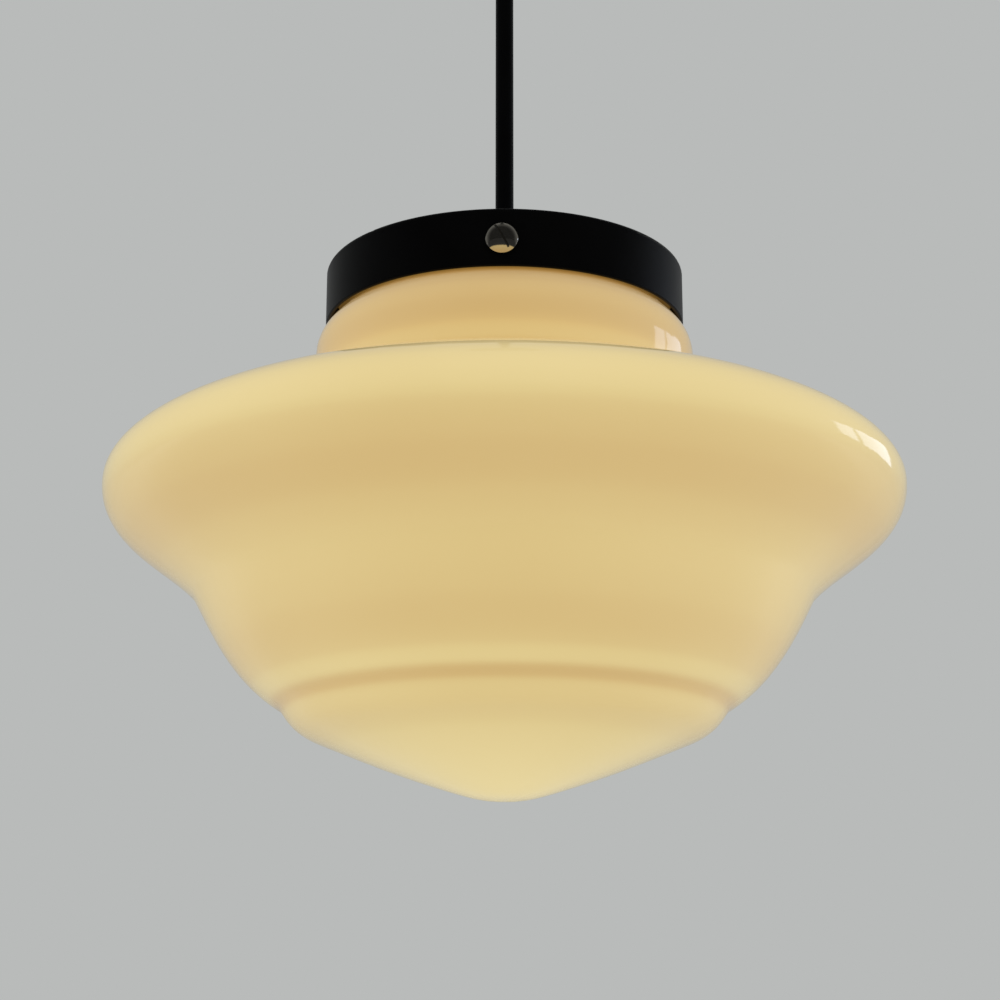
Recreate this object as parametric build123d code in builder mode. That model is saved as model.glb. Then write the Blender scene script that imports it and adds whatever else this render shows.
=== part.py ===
from build123d import *
import os
from math import cos, radians, sin, sqrt

os.makedirs("parts", exist_ok=True)

# Frame: millimetres, +Z up. The origin is on the ceiling, on the axis of the lamp, and the lamp
# hangs below it. The -Y side is the front: one thumb screw faces it.

# Clearances
thread_gap = 0.05       # radial play drawn between a thread and its nut or hole
running_gap = 0.08      # radial play of a pin or stem in the hole it turns or slides in
seat_gap = 0.3          # space left where a curved face rests on another
fitting_gap = 0.1       # radial play of a push fit that does not move
end_gap = 0.05          # from the end of a stud to the floor of its blind hole

# Edges
edge_break = 0.3        # turned edges
thread_bevel = 0.5      # at the end of a thread
mould_round = 0.8       # moulded and porcelain edges

# Ceiling plate and hook
plate_length = 84.0
plate_width = 22.0
plate_thick = 2.0
slot_spacing = 56.0
slot_length = 12.0
slot_width = 5.0
hook_wire = 5.0
hook_shank = 10.0       # straight length below the ceiling
hook_loop_r = 12.5      # middle of the wire in the loop
hook_join_angle = 70.0  # where the lead-in bend meets the loop
hook_tip_angle = 20.0   # the open end stands this far above the loop's middle
hook_tip_round = 1.9
hook_nut_flats = 8.0
hook_nut_height = 4.0

# Roller, its bolt and the stirrup
roller_length = 14.0
roller_waist_r = 5.5
roller_flange_r = 8.5
roller_groove_r = 4.0
roller_round = 0.6
bolt_d = 4.0
bolt_flats = 7.0
bolt_head = 2.8
bolt_nut = 3.2
bolt_past = 1.5         # bolt beyond its nut
strap_width = 12.0
strap_thick = 2.0
strap_bend_r = 3.0
strap_corner_r = 5.0
strap_side_gap = 0.5    # beside each end of the roller
stirrup_rise = 7.0      # legs above the bolt
stirrup_drop = 30.0     # bolt to the inside of the stirrup's floor

# Stem
stem_length = 400.0
stem_d = 8.0
stem_wall = 1.0
stem_nut_flats = 12.0
stem_nut_height = 4.0
stem_end = 1.5          # stem showing above its top nut

# Terminal block beside the stirrup
block_length = 26.0
block_depth = 11.0
block_width = 16.0
block_round = 1.5
pole_pitch = 8.0
pole_bore_d = 3.4
block_rise = 7.0        # top of the block below the bolt's middle
clamp_screw_d = 3.0
clamp_screw_sink = 1.0  # below the block's front
grub_slot = 0.6
grub_slot_depth = 0.7
block_screw_d = 3.0
block_screw_head_d = 5.6
block_screw_head = 1.8
block_screw_round = 0.7
block_screw_slot = 0.8
block_screw_slot_depth = 0.9

# Wires
wire_d = 2.0
wire_ring_r = 1.25      # the three wires stand on this circle in the stem
wire_bend_r = 3.5
wire_fan_r = 2.6
wire_rise = 4.1         # lowest wire above the stem's top
wire_side = 6.0         # nearer wires beside the terminal block
wire_spread = 3.0       # from the nearer wires to the far one
wire_tail = 1.8         # the wires part this far below the adaptor's tail
wire_over_post = 2.2
wire_in_post = 4.0

# Canopy and its collar
canopy_gap = 6.0        # rim below the ceiling
canopy_r = 52.0
canopy_skirt = 24.0
canopy_height = 74.0
canopy_foot_r = 13.0
canopy_wall = 1.2
canopy_rim_r = 0.5
collar_r = 9.0
collar_height = 11.0
collar_spigot_r = 6.0
collar_spigot = 3.0
collar_round = 1.0
clamp_stud_d = 3.0
clamp_head_d = 7.0
clamp_head_edge = 0.9
clamp_head_dome = 1.6
clamp_slot_depth = 1.0
clamp_grip = 1.2        # blind hole in the head for its stud

# Stem adaptor, washer and locknut
adaptor_flats = 14.0
adaptor_height = 14.0
stem_thread = 10.0      # stem inside the adaptor
male_d = 10.0
adaptor_bore_d = 6.4
tail_short = 1.0        # its threaded tail ends above the dome of the lampholder
washer_d = 24.0
washer_thick = 1.5
locknut_flats = 14.0
locknut_height = 4.0

# Fitter
fitter_d = 155.0
fitter_height = 25.0
fitter_wall = 1.8
fitter_top_r = 2.0
fitter_rim_r = 0.7

# Thumb screws
screw_count = 3
screw_level = 11.4      # above the fitter's rim
stud_d = 4.0
head_d = 13.2
head_edge = 0.9         # straight rim under the dome
head_dome = 3.5
head_bevel = 0.45       # inner edge
head_standoff = 0.6     # head clear of the fitter's wall
head_grip = 1.4         # blind hole in the head for its stud
slot_cut = 0.9
slot_depth = 2.2        # from the top of the dome
slot_turn = -60.0       # degrees, as the front head stands
slot_step = 37.0        # degrees from one head to the next

# Glass shade: each form is given by its step out, in or down from the one above it
glass_wall = 3.5
lip_inset = 1.2         # lip inside the fitter's wall
lip_out = 7.0           # lip beyond the neck
lip_height = 6.0
lip_round = 2.0
mouth_round = 1.2
neck_cove = 4.0
slope_under_rim = 1.26  # the neck's slope passes this far below the fitter's inner rim
bulge_out = 3.9         # beyond the fitter
bulge_round = 17.0
crease_in = 2.4
crease_down = 17.5
shoulder_out = 5.0
shoulder_down = 7.5
brim_r = 168.5
brim_down = 38.2
bowl_r = 128.9
bend_out = 4.1          # the bend over the bowl
bend_down = 39.8
bowl_down = 5.3
ring_r = 94.9
ring_down = 43.1
step_in = 2.7
step_down = 2.8
bead_in = 12.0
bead_down = 10.1
cone_r = 22.3
cone_down = 21.8
tip_down = 3.9

# Lampholder
holder_neck_r = 8.0
holder_neck = 10.0
dome_r = 20.0
dome_height = 16.0
dome_skirt = 8.0
dome_share = 0.45       # fullness of the dome
holder_wall = 1.8
spigot_height = 6.0
spigot_wall = 2.2
flange_height = 5.0
flange_round = 1.5
tube_r = 17.5
tube_wall = 2.5
tube_height = 27.0
insert_height = 10.0
post_side = 5.0
post_height = 6.0
post_floor = 1.0        # below the wire's hole
post_ring_r = 9.0
post_screw_d = 2.4
post_screw_out = 1.0
sleeve_r = 14.0
sleeve_wall = 0.5
sleeve_height = 24.0
sleeve_hole_r = 9.0
tongue_width = 5.0
tongue_thick = 0.5
tongue_drop = 4.8
tongue_foot = 3.0
tongue_tip = 3.0        # half of the level end
tongue_lap = 0.4        # so that the slope is as thick as its ends
tongue_inset = 1.0      # its root inside the sleeve's hole

# Lamp bulb
bulb_length = 106.0
bulb_r = 30.0
bulb_glass = 0.8
cap_r = 13.15
cap_root_r = 12.3
cap_pitch = 3.629
cap_turns = 4
cap_top_drop = 5.0      # top of the cap's shell below its contact
cap_plain = 7.0
contact_r = 4.8
contact_height = 1.6
contact_round = 1.0
insulator_lip = 0.4     # above the top of the cap
insulator_deep = 3.0
bulb_neck_r = 13.6
pear_share = 0.42       # straight run down from the neck
belly_share = 0.5       # straight run up from the widest level
glass_stem_r = 3.2
glass_stem_length = 24.0
glass_stem_round = 1.2
flare_r = 10.8
flare_height = 6.0
filament_count = 4
filament_d = 1.6
filament_length = 32.0
filament_ring_r = 6.5
frame_wire_d = 0.8
mast_gap = 3.0          # from the glass stem to the upper ring

# Levels and radii worked out from the dimensions above
bend_share = cos(radians(hook_join_angle))
lead_bend_r = hook_loop_r * bend_share / (1 - bend_share)
loop_z = -hook_shank - (hook_loop_r + lead_bend_r) * sin(radians(hook_join_angle))
hook_seat_z = loop_z - hook_loop_r
bolt_z = hook_seat_z + hook_wire / 2 + seat_gap + roller_waist_r
leg_inside = roller_length / 2 + strap_side_gap
leg_outside = leg_inside + strap_thick
floor_z = bolt_z - stirrup_drop
stem_r = stem_d / 2
stem_top_z = floor_z + stem_nut_height + stem_end
stem_bottom_z = stem_top_z - stem_length
adaptor_top_z = stem_bottom_z + stem_thread
adaptor_bottom_z = adaptor_top_z - adaptor_height
fitter_top_z = adaptor_bottom_z - washer_thick
rim_z = fitter_top_z - fitter_height
fitter_r = fitter_d / 2
fitter_in_r = fitter_r - fitter_wall
lip_r = fitter_in_r - lip_inset
neck_r = lip_r - lip_out
screw_z = rim_z + screw_level
lip_bottom_z = screw_z + stud_d / 2 + seat_gap
locknut_top_z = fitter_top_z - fitter_wall
holder_top_z = locknut_top_z - locknut_height - seat_gap
dome_top_z = holder_top_z - holder_neck
dome_bottom_z = dome_top_z - dome_height
ledge_z = dome_bottom_z - dome_skirt
spigot_r = dome_r - holder_wall - fitting_gap
insert_r = spigot_r - spigot_wall - fitting_gap
insert_top_z = ledge_z + insert_height
post_top_z = insert_top_z + post_height
male_r = male_d / 2
male_bottom_z = dome_top_z + tail_short
contact_z = ledge_z - tongue_thick - tongue_drop - seat_gap
block_top_z = bolt_z - block_rise
block_mid_z = block_top_z - block_length / 2
block_y = -leg_outside - block_depth / 2
block_front_y = -leg_outside - block_depth
pole_levels = [block_mid_z + pole_pitch, block_mid_z, block_mid_z - pole_pitch]
fix_z = block_mid_z + pole_pitch / 2
canopy_foot_z = -canopy_gap - canopy_height


def hex_nut(seat, flats, height, bore_r):
    """Hexagon nut with turned corners and a plain bore, standing on the plane seat."""
    corner_r = flats / sqrt(3)
    turned = corner_r - flats / 2
    side = Plane(origin=seat.origin, x_dir=seat.x_dir, z_dir=-seat.y_dir)
    with BuildPart() as nut:
        with BuildSketch(seat):
            RegularPolygon(flats / 2, 6, major_radius=False)
            if bore_r > 0:
                Circle(bore_r, mode=Mode.SUBTRACT)
        extrude(amount=height)
        with BuildSketch(side):
            with BuildLine():
                Polyline(
                    (0, 0),
                    (flats / 2, 0),
                    (corner_r, turned / 2),
                    (corner_r, height - turned / 2),
                    (flats / 2, height),
                    (0, height),
                    close=True,
                )
            make_face()
        revolve(axis=Axis(seat.origin, seat.z_dir), mode=Mode.INTERSECT)
    return nut.part


def turned_ring(seat, outer_r, inner_r, height, bevel):
    """Turned ring or disc with both outer edges bevelled, standing on the plane seat."""
    with BuildPart() as ring:
        with BuildSketch(seat):
            Circle(outer_r)
        extrude(amount=height)
        outer_edges = ring.edges().filter_by(GeomType.CIRCLE)
        chamfer(outer_edges, bevel)
        if inner_r > 0:
            with BuildSketch(seat):
                Circle(inner_r)
            extrude(amount=height, mode=Mode.SUBTRACT)
    return ring.part


def flow(start, start_heading, end, end_heading, leave, arrive):
    """Smooth line between two points; headings in degrees, leave and arrive as shares of the chord."""
    chord = sqrt((end[0] - start[0]) ** 2 + (end[1] - start[1]) ** 2)
    leave_r = chord * leave
    arrive_r = chord * arrive
    first = (
        start[0] + leave_r * cos(radians(start_heading)),
        start[1] + leave_r * sin(radians(start_heading)),
    )
    second = (
        end[0] - arrive_r * cos(radians(end_heading)),
        end[1] - arrive_r * sin(radians(end_heading)),
    )
    return Bezier(start, first, second, end)


def inset_place(place, depth):
    """Point that lies the depth inside an outline, square to it at the place."""
    radius, level, heading = place[:3]
    normal = radians(heading - 90)
    return (radius + depth * cos(normal), level + depth * sin(normal))


def skin_line(places, depth):
    """Outline through the places, at the depth inside the skin's outer face; gives its two ends.

    Each place is a radius, a level, the way the line heads there in degrees, and how far the
    line runs straight on arriving and on leaving, as shares of the chords.
    """
    points = [inset_place(place, depth) for place in places]
    for number, (place, following) in enumerate(zip(places[:-1], places[1:])):
        flow(
            points[number],
            place[2],
            points[number + 1],
            following[2],
            place[4],
            following[3],
        )
    return points[0], points[-1]


def wire_along(points, radii, diameter):
    """Insulated wire through the points, its corners rounded to the radii."""
    with BuildPart() as wire:
        with BuildLine():
            route = FilletPolyline(*points, radius=radii)
        with BuildSketch(Plane(origin=route @ 0, z_dir=route % 0)):
            Circle(diameter / 2)
        sweep()
    print("wire, radii", radii, "length", round(route.length, 1))
    return wire.part


# Ceiling plate: flat steel strip with a slot at each end and the hook's hole in the middle
with BuildPart() as ceiling_plate:
    with BuildSketch():
        SlotOverall(plate_length, plate_width)
        with GridLocations(slot_spacing, 0, 2, 1):
            SlotOverall(slot_length, slot_width, mode=Mode.SUBTRACT)
        Circle(hook_wire / 2 + thread_gap, mode=Mode.SUBTRACT)
    extrude(amount=-plate_thick)
ceiling_plate.part.label = "ceiling_plate"
export_step(ceiling_plate.part, "parts/ceiling_plate.step")

# Ceiling hook: steel wire, a straight shank, a lead-in bend to one side and an open loop
with BuildPart() as ceiling_hook:
    with BuildLine(Plane.XZ) as hook_path:
        shank = Line((0, 0), (0, -hook_shank))
        lead_in = JernArc(shank @ 1, shank % 1, lead_bend_r, -hook_join_angle)
        JernArc(lead_in @ 1, lead_in % 1, hook_loop_r, 180 + hook_join_angle + hook_tip_angle)
    with BuildSketch(Plane.XY):
        Circle(hook_wire / 2)
    sweep()
    tip_face = ceiling_hook.faces().filter_by(GeomType.PLANE).sort_by(Axis.X)[-1]
    fillet(tip_face.edges(), hook_tip_round)
ceiling_hook.part.label = "ceiling_hook"
export_step(ceiling_hook.part, "parts/ceiling_hook.step")

# Hook nut: locks the shank under the plate
hook_nut = hex_nut(
    Plane.XY.offset(-plate_thick - hook_nut_height),
    hook_nut_flats,
    hook_nut_height,
    hook_wire / 2 + thread_gap,
)
hook_nut.label = "hook_nut"
export_step(hook_nut, "parts/hook_nut.step")

# Roller: porcelain spool that rides in the hook and insulates the lamp from it
spool_plane = Plane(origin=(0, 0, bolt_z), x_dir=(0, 1, 0), z_dir=(1, 0, 0))
roller_bore_r = bolt_d / 2 + running_gap
groove_half = sqrt(roller_groove_r**2 - (roller_waist_r + roller_groove_r - roller_flange_r) ** 2)
with BuildPart() as hanger_roller:
    with BuildSketch(spool_plane):
        with BuildLine():
            Polyline(
                (groove_half, roller_flange_r),
                (roller_length / 2, roller_flange_r),
                (roller_length / 2, roller_bore_r),
                (-roller_length / 2, roller_bore_r),
                (-roller_length / 2, roller_flange_r),
                (-groove_half, roller_flange_r),
            )
            ThreePointArc(
                (-groove_half, roller_flange_r),
                (0, roller_waist_r),
                (groove_half, roller_flange_r),
            )
        make_face()
    revolve(axis=Axis((0, 0, bolt_z), (0, 1, 0)))
    rim_edges = hanger_roller.edges().filter_by(GeomType.CIRCLE).group_by(SortBy.RADIUS)[-1]
    fillet(rim_edges, roller_round)
hanger_roller.part.label = "hanger_roller"
export_step(hanger_roller.part, "parts/hanger_roller.step")

# Stirrup: steel strap bent to a U, drilled for the bolt and for the stem
leg_height = stirrup_rise + stirrup_drop + strap_thick
with BuildPart() as stirrup:
    with BuildSketch(Plane.YZ.offset(-strap_width / 2)) as strap_outside:
        with Locations((0, bolt_z + stirrup_rise - leg_height / 2)):
            Rectangle(2 * leg_outside, leg_height)
        fillet(strap_outside.vertices().group_by(Axis.Y)[0], strap_bend_r)
    extrude(amount=strap_width)
    with BuildSketch(Plane.YZ.offset(-strap_width / 2)) as strap_inside:
        with Locations((0, bolt_z + stirrup_rise - (leg_height - strap_thick) / 2)):
            Rectangle(2 * leg_inside, leg_height - strap_thick)
        fillet(strap_inside.vertices().group_by(Axis.Y)[0], strap_bend_r - strap_thick)
    extrude(amount=strap_width, mode=Mode.SUBTRACT)
    leg_corners = stirrup.edges().filter_by(Axis.Y).group_by(Axis.Z)[-1]
    fillet(leg_corners, strap_corner_r)
    with Locations(Plane(origin=(0, 0, bolt_z), x_dir=(1, 0, 0), z_dir=(0, 1, 0))):
        Hole(bolt_d / 2 + fitting_gap)
    with Locations((0, 0, floor_z)):
        Hole(stem_r + fitting_gap)
    with Locations(Plane(origin=(0, -leg_outside, fix_z), z_dir=(0, -1, 0))):
        Hole(block_screw_d / 2 + thread_gap, depth=strap_thick)
stirrup.part.label = "stirrup"
export_step(stirrup.part, "parts/stirrup.step")

# Roller bolt: hexagon head on the front leg, shank through both legs and the roller
bolt_far = leg_outside + bolt_nut + bolt_past
head_seat = Plane(origin=(0, -leg_outside, bolt_z), x_dir=(1, 0, 0), z_dir=(0, -1, 0))
with BuildPart() as roller_bolt:
    add(hex_nut(head_seat, bolt_flats, bolt_head, 0))
    with BuildSketch(head_seat):
        Circle(bolt_d / 2)
    extrude(amount=-(leg_outside + bolt_far))
    bolt_end = roller_bolt.faces().sort_by(Axis.Y)[-1]
    chamfer(bolt_end.edges(), thread_bevel)
roller_bolt.part.label = "roller_bolt"
export_step(roller_bolt.part, "parts/roller_bolt.step")

# Roller nut: on the back leg
roller_nut = hex_nut(
    Plane(origin=(0, leg_outside, bolt_z), x_dir=(1, 0, 0), z_dir=(0, 1, 0)),
    bolt_flats,
    bolt_nut,
    bolt_d / 2 + thread_gap,
)
roller_nut.label = "roller_nut"
export_step(roller_nut, "parts/roller_nut.step")

# Stem nuts: one each side of the stirrup's floor
stem_nut_top = hex_nut(
    Plane.XY.offset(floor_z), stem_nut_flats, stem_nut_height, stem_r + thread_gap
)
stem_nut_top.label = "stem_nut_top"
export_step(stem_nut_top, "parts/stem_nut_top.step")

stem_nut_lower = hex_nut(
    Plane.XY.offset(floor_z - strap_thick - stem_nut_height),
    stem_nut_flats,
    stem_nut_height,
    stem_r + thread_gap,
)
stem_nut_lower.label = "stem_nut_lower"
export_step(stem_nut_lower, "parts/stem_nut_lower.step")

# Stem: drawn steel tube that carries the lamp and holds the wires
with BuildPart() as stem:
    with BuildSketch(Plane.XY.offset(stem_bottom_z)):
        Circle(stem_r)
        Circle(stem_r - stem_wall, mode=Mode.SUBTRACT)
    extrude(amount=stem_length)
    end_edges = stem.edges().filter_by(GeomType.CIRCLE).group_by(SortBy.RADIUS)[-1]
    chamfer(end_edges, edge_break)
stem.part.label = "stem"
export_step(stem.part, "parts/stem.step")

# Terminal block: moulded body screwed to the front leg, three poles one above the other
clamp_x = block_width / 4
block_back = Plane(origin=(0, -leg_outside, block_mid_z), x_dir=(1, 0, 0), z_dir=(0, -1, 0))
with BuildPart() as terminal_block:
    with BuildSketch(block_back):
        Rectangle(block_width, block_length)
    extrude(amount=block_depth)
    fillet(terminal_block.edges().filter_by(Axis.Y), block_round)
    for level in pole_levels:
        with Locations(Plane(origin=(0, block_y, level), z_dir=(1, 0, 0))):
            Hole(pole_bore_d / 2)
        for side in (-clamp_x, clamp_x):
            with Locations(Plane(origin=(side, block_front_y, level), z_dir=(0, -1, 0))):
                Hole(clamp_screw_d / 2 + thread_gap, depth=block_depth / 2)
    with Locations(Plane(origin=(0, block_front_y, fix_z), z_dir=(0, -1, 0))):
        Hole(block_screw_d / 2 + fitting_gap)
terminal_block.part.label = "terminal_block"
export_step(terminal_block.part, "parts/terminal_block.step")

# Terminal screws: two a pole, each a slotted brass grub down to the wire
clamp_tip_y = block_y - wire_d / 2 - fitting_gap
clamp_top_y = block_front_y + clamp_screw_sink
with BuildPart() as block_screws:
    for level in pole_levels:
        for side in (-clamp_x, clamp_x):
            screw_face = Plane(origin=(side, clamp_top_y, level), x_dir=(1, 0, 0), z_dir=(0, -1, 0))
            with BuildSketch(screw_face):
                Circle(clamp_screw_d / 2)
            extrude(amount=-(clamp_tip_y - clamp_top_y))
            with BuildSketch(screw_face):
                Rectangle(clamp_screw_d, grub_slot)
            extrude(amount=-grub_slot_depth, mode=Mode.SUBTRACT)
block_screws.part.label = "block_screws"
export_step(block_screws.part, "parts/block_screws.step")

# Block screw: holds the terminal block on the stirrup's leg
with BuildPart() as block_fixing:
    fixing_face = Plane(origin=(0, block_front_y, fix_z), x_dir=(1, 0, 0), z_dir=(0, -1, 0))
    with BuildSketch(fixing_face):
        Circle(block_screw_head_d / 2)
    extrude(amount=block_screw_head)
    fillet(block_fixing.faces().sort_by(Axis.Y)[0].edges(), block_screw_round)
    with BuildSketch(fixing_face.offset(block_screw_head)):
        Rectangle(block_screw_head_d, block_screw_slot)
    extrude(amount=-block_screw_slot_depth, mode=Mode.SUBTRACT)
    with BuildSketch(fixing_face):
        Circle(block_screw_d / 2)
    extrude(amount=-(block_depth + strap_thick))
block_fixing.part.label = "block_fixing"
export_step(block_fixing.part, "parts/block_fixing.step")

# Canopy: spun steel bell that hides the hook, the collar's spigot stands in its hole
canopy_hole_r = collar_spigot_r + fitting_gap
canopy_places = [
    (canopy_r, -canopy_gap, -90, 0.33, 0.33),
    (canopy_r, -canopy_gap - canopy_skirt, -90, 0.33, 0.45),
    (canopy_foot_r, canopy_foot_z, -180, 0.45, 0.33),
    (canopy_hole_r, canopy_foot_z, -180, 0.33, 0.33),
]
with BuildPart() as canopy:
    with BuildSketch(Plane.XZ):
        with BuildLine():
            outer_ends = skin_line(canopy_places, 0)
            inner_ends = skin_line(canopy_places, canopy_wall)
            Line(outer_ends[0], inner_ends[0])
            Line(outer_ends[1], inner_ends[1])
        make_face()
    revolve(axis=Axis.Z)
    rim_circles = canopy.edges().filter_by(GeomType.CIRCLE).group_by(Axis.Z)[-1]
    fillet(rim_circles, canopy_rim_r)
canopy.part.label = "canopy"
export_step(canopy.part, "parts/canopy.step")

# Canopy collar: turned ring under the canopy, its spigot in the canopy's hole
collar_bottom_z = canopy_foot_z - collar_height
collar_mid_z = canopy_foot_z - collar_height / 2
with BuildPart() as canopy_collar:
    with BuildSketch(Plane.XY.offset(collar_bottom_z)):
        Circle(collar_r)
    extrude(amount=collar_height)
    collar_edges = canopy_collar.edges().filter_by(GeomType.CIRCLE)
    fillet(collar_edges, collar_round)
    with BuildSketch(Plane.XY.offset(canopy_foot_z)):
        Circle(collar_spigot_r)
    extrude(amount=collar_spigot)
    with Locations((0, 0, canopy_foot_z)):
        Hole(stem_r + running_gap)
    with Locations(Plane(origin=(0, -collar_r, collar_mid_z), z_dir=(0, -1, 0))):
        Hole(clamp_stud_d / 2 + thread_gap, depth=collar_r)
canopy_collar.part.label = "canopy_collar"
export_step(canopy_collar.part, "parts/canopy_collar.step")


def clamp_stud(axis_plane, tip_r, end_r, diameter):
    """Threaded stud along the plane's normal, from tip_r to end_r out from the plane's origin."""
    with BuildPart() as stud:
        with BuildSketch(axis_plane.offset(tip_r)):
            Circle(diameter / 2)
        extrude(amount=end_r - tip_r)
        chamfer(stud.edges().filter_by(GeomType.CIRCLE), edge_break)
    return stud.part


def slotted_head(axis_plane, inner_r, edge, dome, diameter, stud_radius, grip, turn, depth):
    """Domed round head with a slot, its inner face inner_r out from the plane's origin."""
    inner_face = axis_plane.offset(inner_r)
    dome_top = axis_plane.offset(inner_r + edge + dome)
    dome_r = ((diameter / 2) ** 2 + dome**2) / (2 * dome)
    with BuildPart() as head:
        with BuildSketch(inner_face):
            Circle(diameter / 2)
        extrude(amount=edge + dome)
        rings = head.edges().filter_by(GeomType.CIRCLE).sort_by(Axis((0, 0, 0), axis_plane.z_dir))
        chamfer(rings[0], head_bevel)
        with Locations(dome_top.offset(-dome_r)):
            Sphere(dome_r, mode=Mode.INTERSECT)
        with BuildSketch(inner_face):
            Circle(stud_radius + running_gap)
        extrude(amount=grip, mode=Mode.SUBTRACT)
        with BuildSketch(dome_top):
            Rectangle(2 * diameter, slot_cut, rotation=turn)
        extrude(amount=-depth, mode=Mode.SUBTRACT)
    return head.part


def outward(angle, level):
    """Plane on the lamp's axis that faces out at the angle, its x level, to the viewer's right."""
    facing = Vector(cos(radians(angle)), sin(radians(angle)), 0)
    right = Vector(-facing.Y, facing.X, 0)
    return Plane(origin=(0, 0, level), x_dir=right, z_dir=facing)


# Clamp screw of the collar: stud and slotted head
clamp_plane = outward(-90, collar_mid_z)
clamp_head_in = collar_r + seat_gap
canopy_stud = clamp_stud(
    clamp_plane, stem_r + seat_gap, clamp_head_in + clamp_grip - end_gap, clamp_stud_d
)
canopy_stud.label = "canopy_screw_stud"
export_step(canopy_stud, "parts/canopy_screw_stud.step")

canopy_head = slotted_head(
    clamp_plane,
    clamp_head_in,
    clamp_head_edge,
    clamp_head_dome,
    clamp_head_d,
    clamp_stud_d / 2,
    clamp_grip,
    90,
    clamp_slot_depth,
)
canopy_head.label = "canopy_screw_head"
export_step(canopy_head, "parts/canopy_screw_head.step")

# Stem adaptor: hexagon piece with the stem screwed in above and a hollow threaded tail below
with BuildPart() as stem_adaptor:
    add(hex_nut(Plane.XY.offset(adaptor_bottom_z), adaptor_flats, adaptor_height, 0))
    with BuildSketch(Plane.XY.offset(male_bottom_z)):
        Circle(male_r)
    extrude(amount=adaptor_bottom_z - male_bottom_z)
    tail_end = stem_adaptor.faces().sort_by(Axis.Z)[0]
    chamfer(tail_end.edges(), thread_bevel)
    with BuildSketch(Plane.XY.offset(male_bottom_z)):
        Circle(adaptor_bore_d / 2)
    extrude(amount=adaptor_top_z - male_bottom_z, mode=Mode.SUBTRACT)
    with BuildSketch(Plane.XY.offset(stem_bottom_z)):
        Circle(stem_r + thread_gap)
    extrude(amount=stem_thread, mode=Mode.SUBTRACT)
stem_adaptor.part.label = "stem_adaptor"
export_step(stem_adaptor.part, "parts/stem_adaptor.step")

# Fitter washer: spreads the adaptor's load on the fitter
fitter_washer = turned_ring(
    Plane.XY.offset(fitter_top_z), washer_d / 2, male_r + fitting_gap, washer_thick, edge_break
)
fitter_washer.label = "fitter_washer"
export_step(fitter_washer, "parts/fitter_washer.step")

# Fitter: spun steel cup, a plain hole on top and three tapped holes round its wall
screw_angles = [-90 + 360 / screw_count * k for k in range(screw_count)]
with BuildPart() as fitter:
    with BuildSketch(Plane.XY.offset(rim_z)):
        Circle(fitter_r)
    extrude(amount=fitter_height)
    top_circle = fitter.edges().filter_by(GeomType.CIRCLE).sort_by(Axis.Z)[-1]
    fillet(top_circle, fitter_top_r)
    with BuildSketch(Plane.XY.offset(rim_z)):
        Circle(fitter_in_r)
    extrude(amount=fitter_height - fitter_wall, mode=Mode.SUBTRACT)
    rim_pair = fitter.edges().filter_by(GeomType.CIRCLE).group_by(Axis.Z)[0]
    fillet(rim_pair, fitter_rim_r)
    with Locations((0, 0, fitter_top_z)):
        Hole(male_r + fitting_gap)
    for angle in screw_angles:
        with BuildSketch(outward(angle, screw_z)):
            Circle(stud_d / 2 + thread_gap)
        extrude(amount=fitter_d, mode=Mode.SUBTRACT)
fitter.part.label = "fitter"
export_step(fitter.part, "parts/fitter.step")

# Fitter locknut: under the fitter's top
fitter_locknut = hex_nut(
    Plane.XY.offset(locknut_top_z - locknut_height),
    locknut_flats,
    locknut_height,
    male_r + thread_gap,
)
fitter_locknut.label = "fitter_locknut"
export_step(fitter_locknut, "parts/fitter_locknut.step")

# Thumb screws: a threaded stud and a slotted nickel head each, tips on the neck under the lip
head_in = fitter_r + head_standoff
for number, angle in enumerate(screw_angles, start=1):
    facing = outward(angle, screw_z)
    stud = clamp_stud(facing, neck_r + seat_gap, head_in + head_grip - end_gap, stud_d)
    stud.label = f"screw_stud_{number}"
    export_step(stud, f"parts/screw_stud_{number}.step")
    turn = slot_turn + slot_step * (number - 1)
    head = slotted_head(
        facing, head_in, head_edge, head_dome, head_d, stud_d / 2, head_grip, turn, slot_depth
    )
    head.label = f"screw_head_{number}"
    export_step(head, f"parts/screw_head_{number}.step")


# Glass shade: blown opal glass of one thickness, with a heavier lip that rests on the three studs.
# The levels of its outline are from the fitter's rim.
lip_bottom = lip_bottom_z - rim_z
lip_top = lip_bottom + lip_height
bulge_r = fitter_r + bulge_out
cove_share = cos(radians(45))
slope_end_r = bulge_r - bulge_round * (1 - cove_share)
slope_end_drop = slope_under_rim + slope_end_r - fitter_in_r
bulge_drop = slope_end_drop + bulge_round * cove_share
cove_end_r = neck_r + neck_cove * (1 - cove_share)
cove_end_drop = slope_end_drop + cove_end_r - slope_end_r
cove_start_drop = cove_end_drop - neck_cove * cove_share
crease_r = bulge_r - crease_in
crease_drop = bulge_drop + crease_down
shoulder_r = crease_r + shoulder_out
shoulder_drop = crease_drop + shoulder_down
brim_drop = shoulder_drop + brim_down
bend_r = bowl_r + bend_out
bend_drop = brim_drop + bend_down
bowl_drop = bend_drop + bowl_down
ring_drop = bowl_drop + ring_down
step_r = ring_r - step_in
step_drop = ring_drop + step_down
bead_r = step_r - bead_in
bead_drop = step_drop + bead_down
cone_drop = bead_drop + cone_down
tip_drop = cone_drop + tip_down
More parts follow.
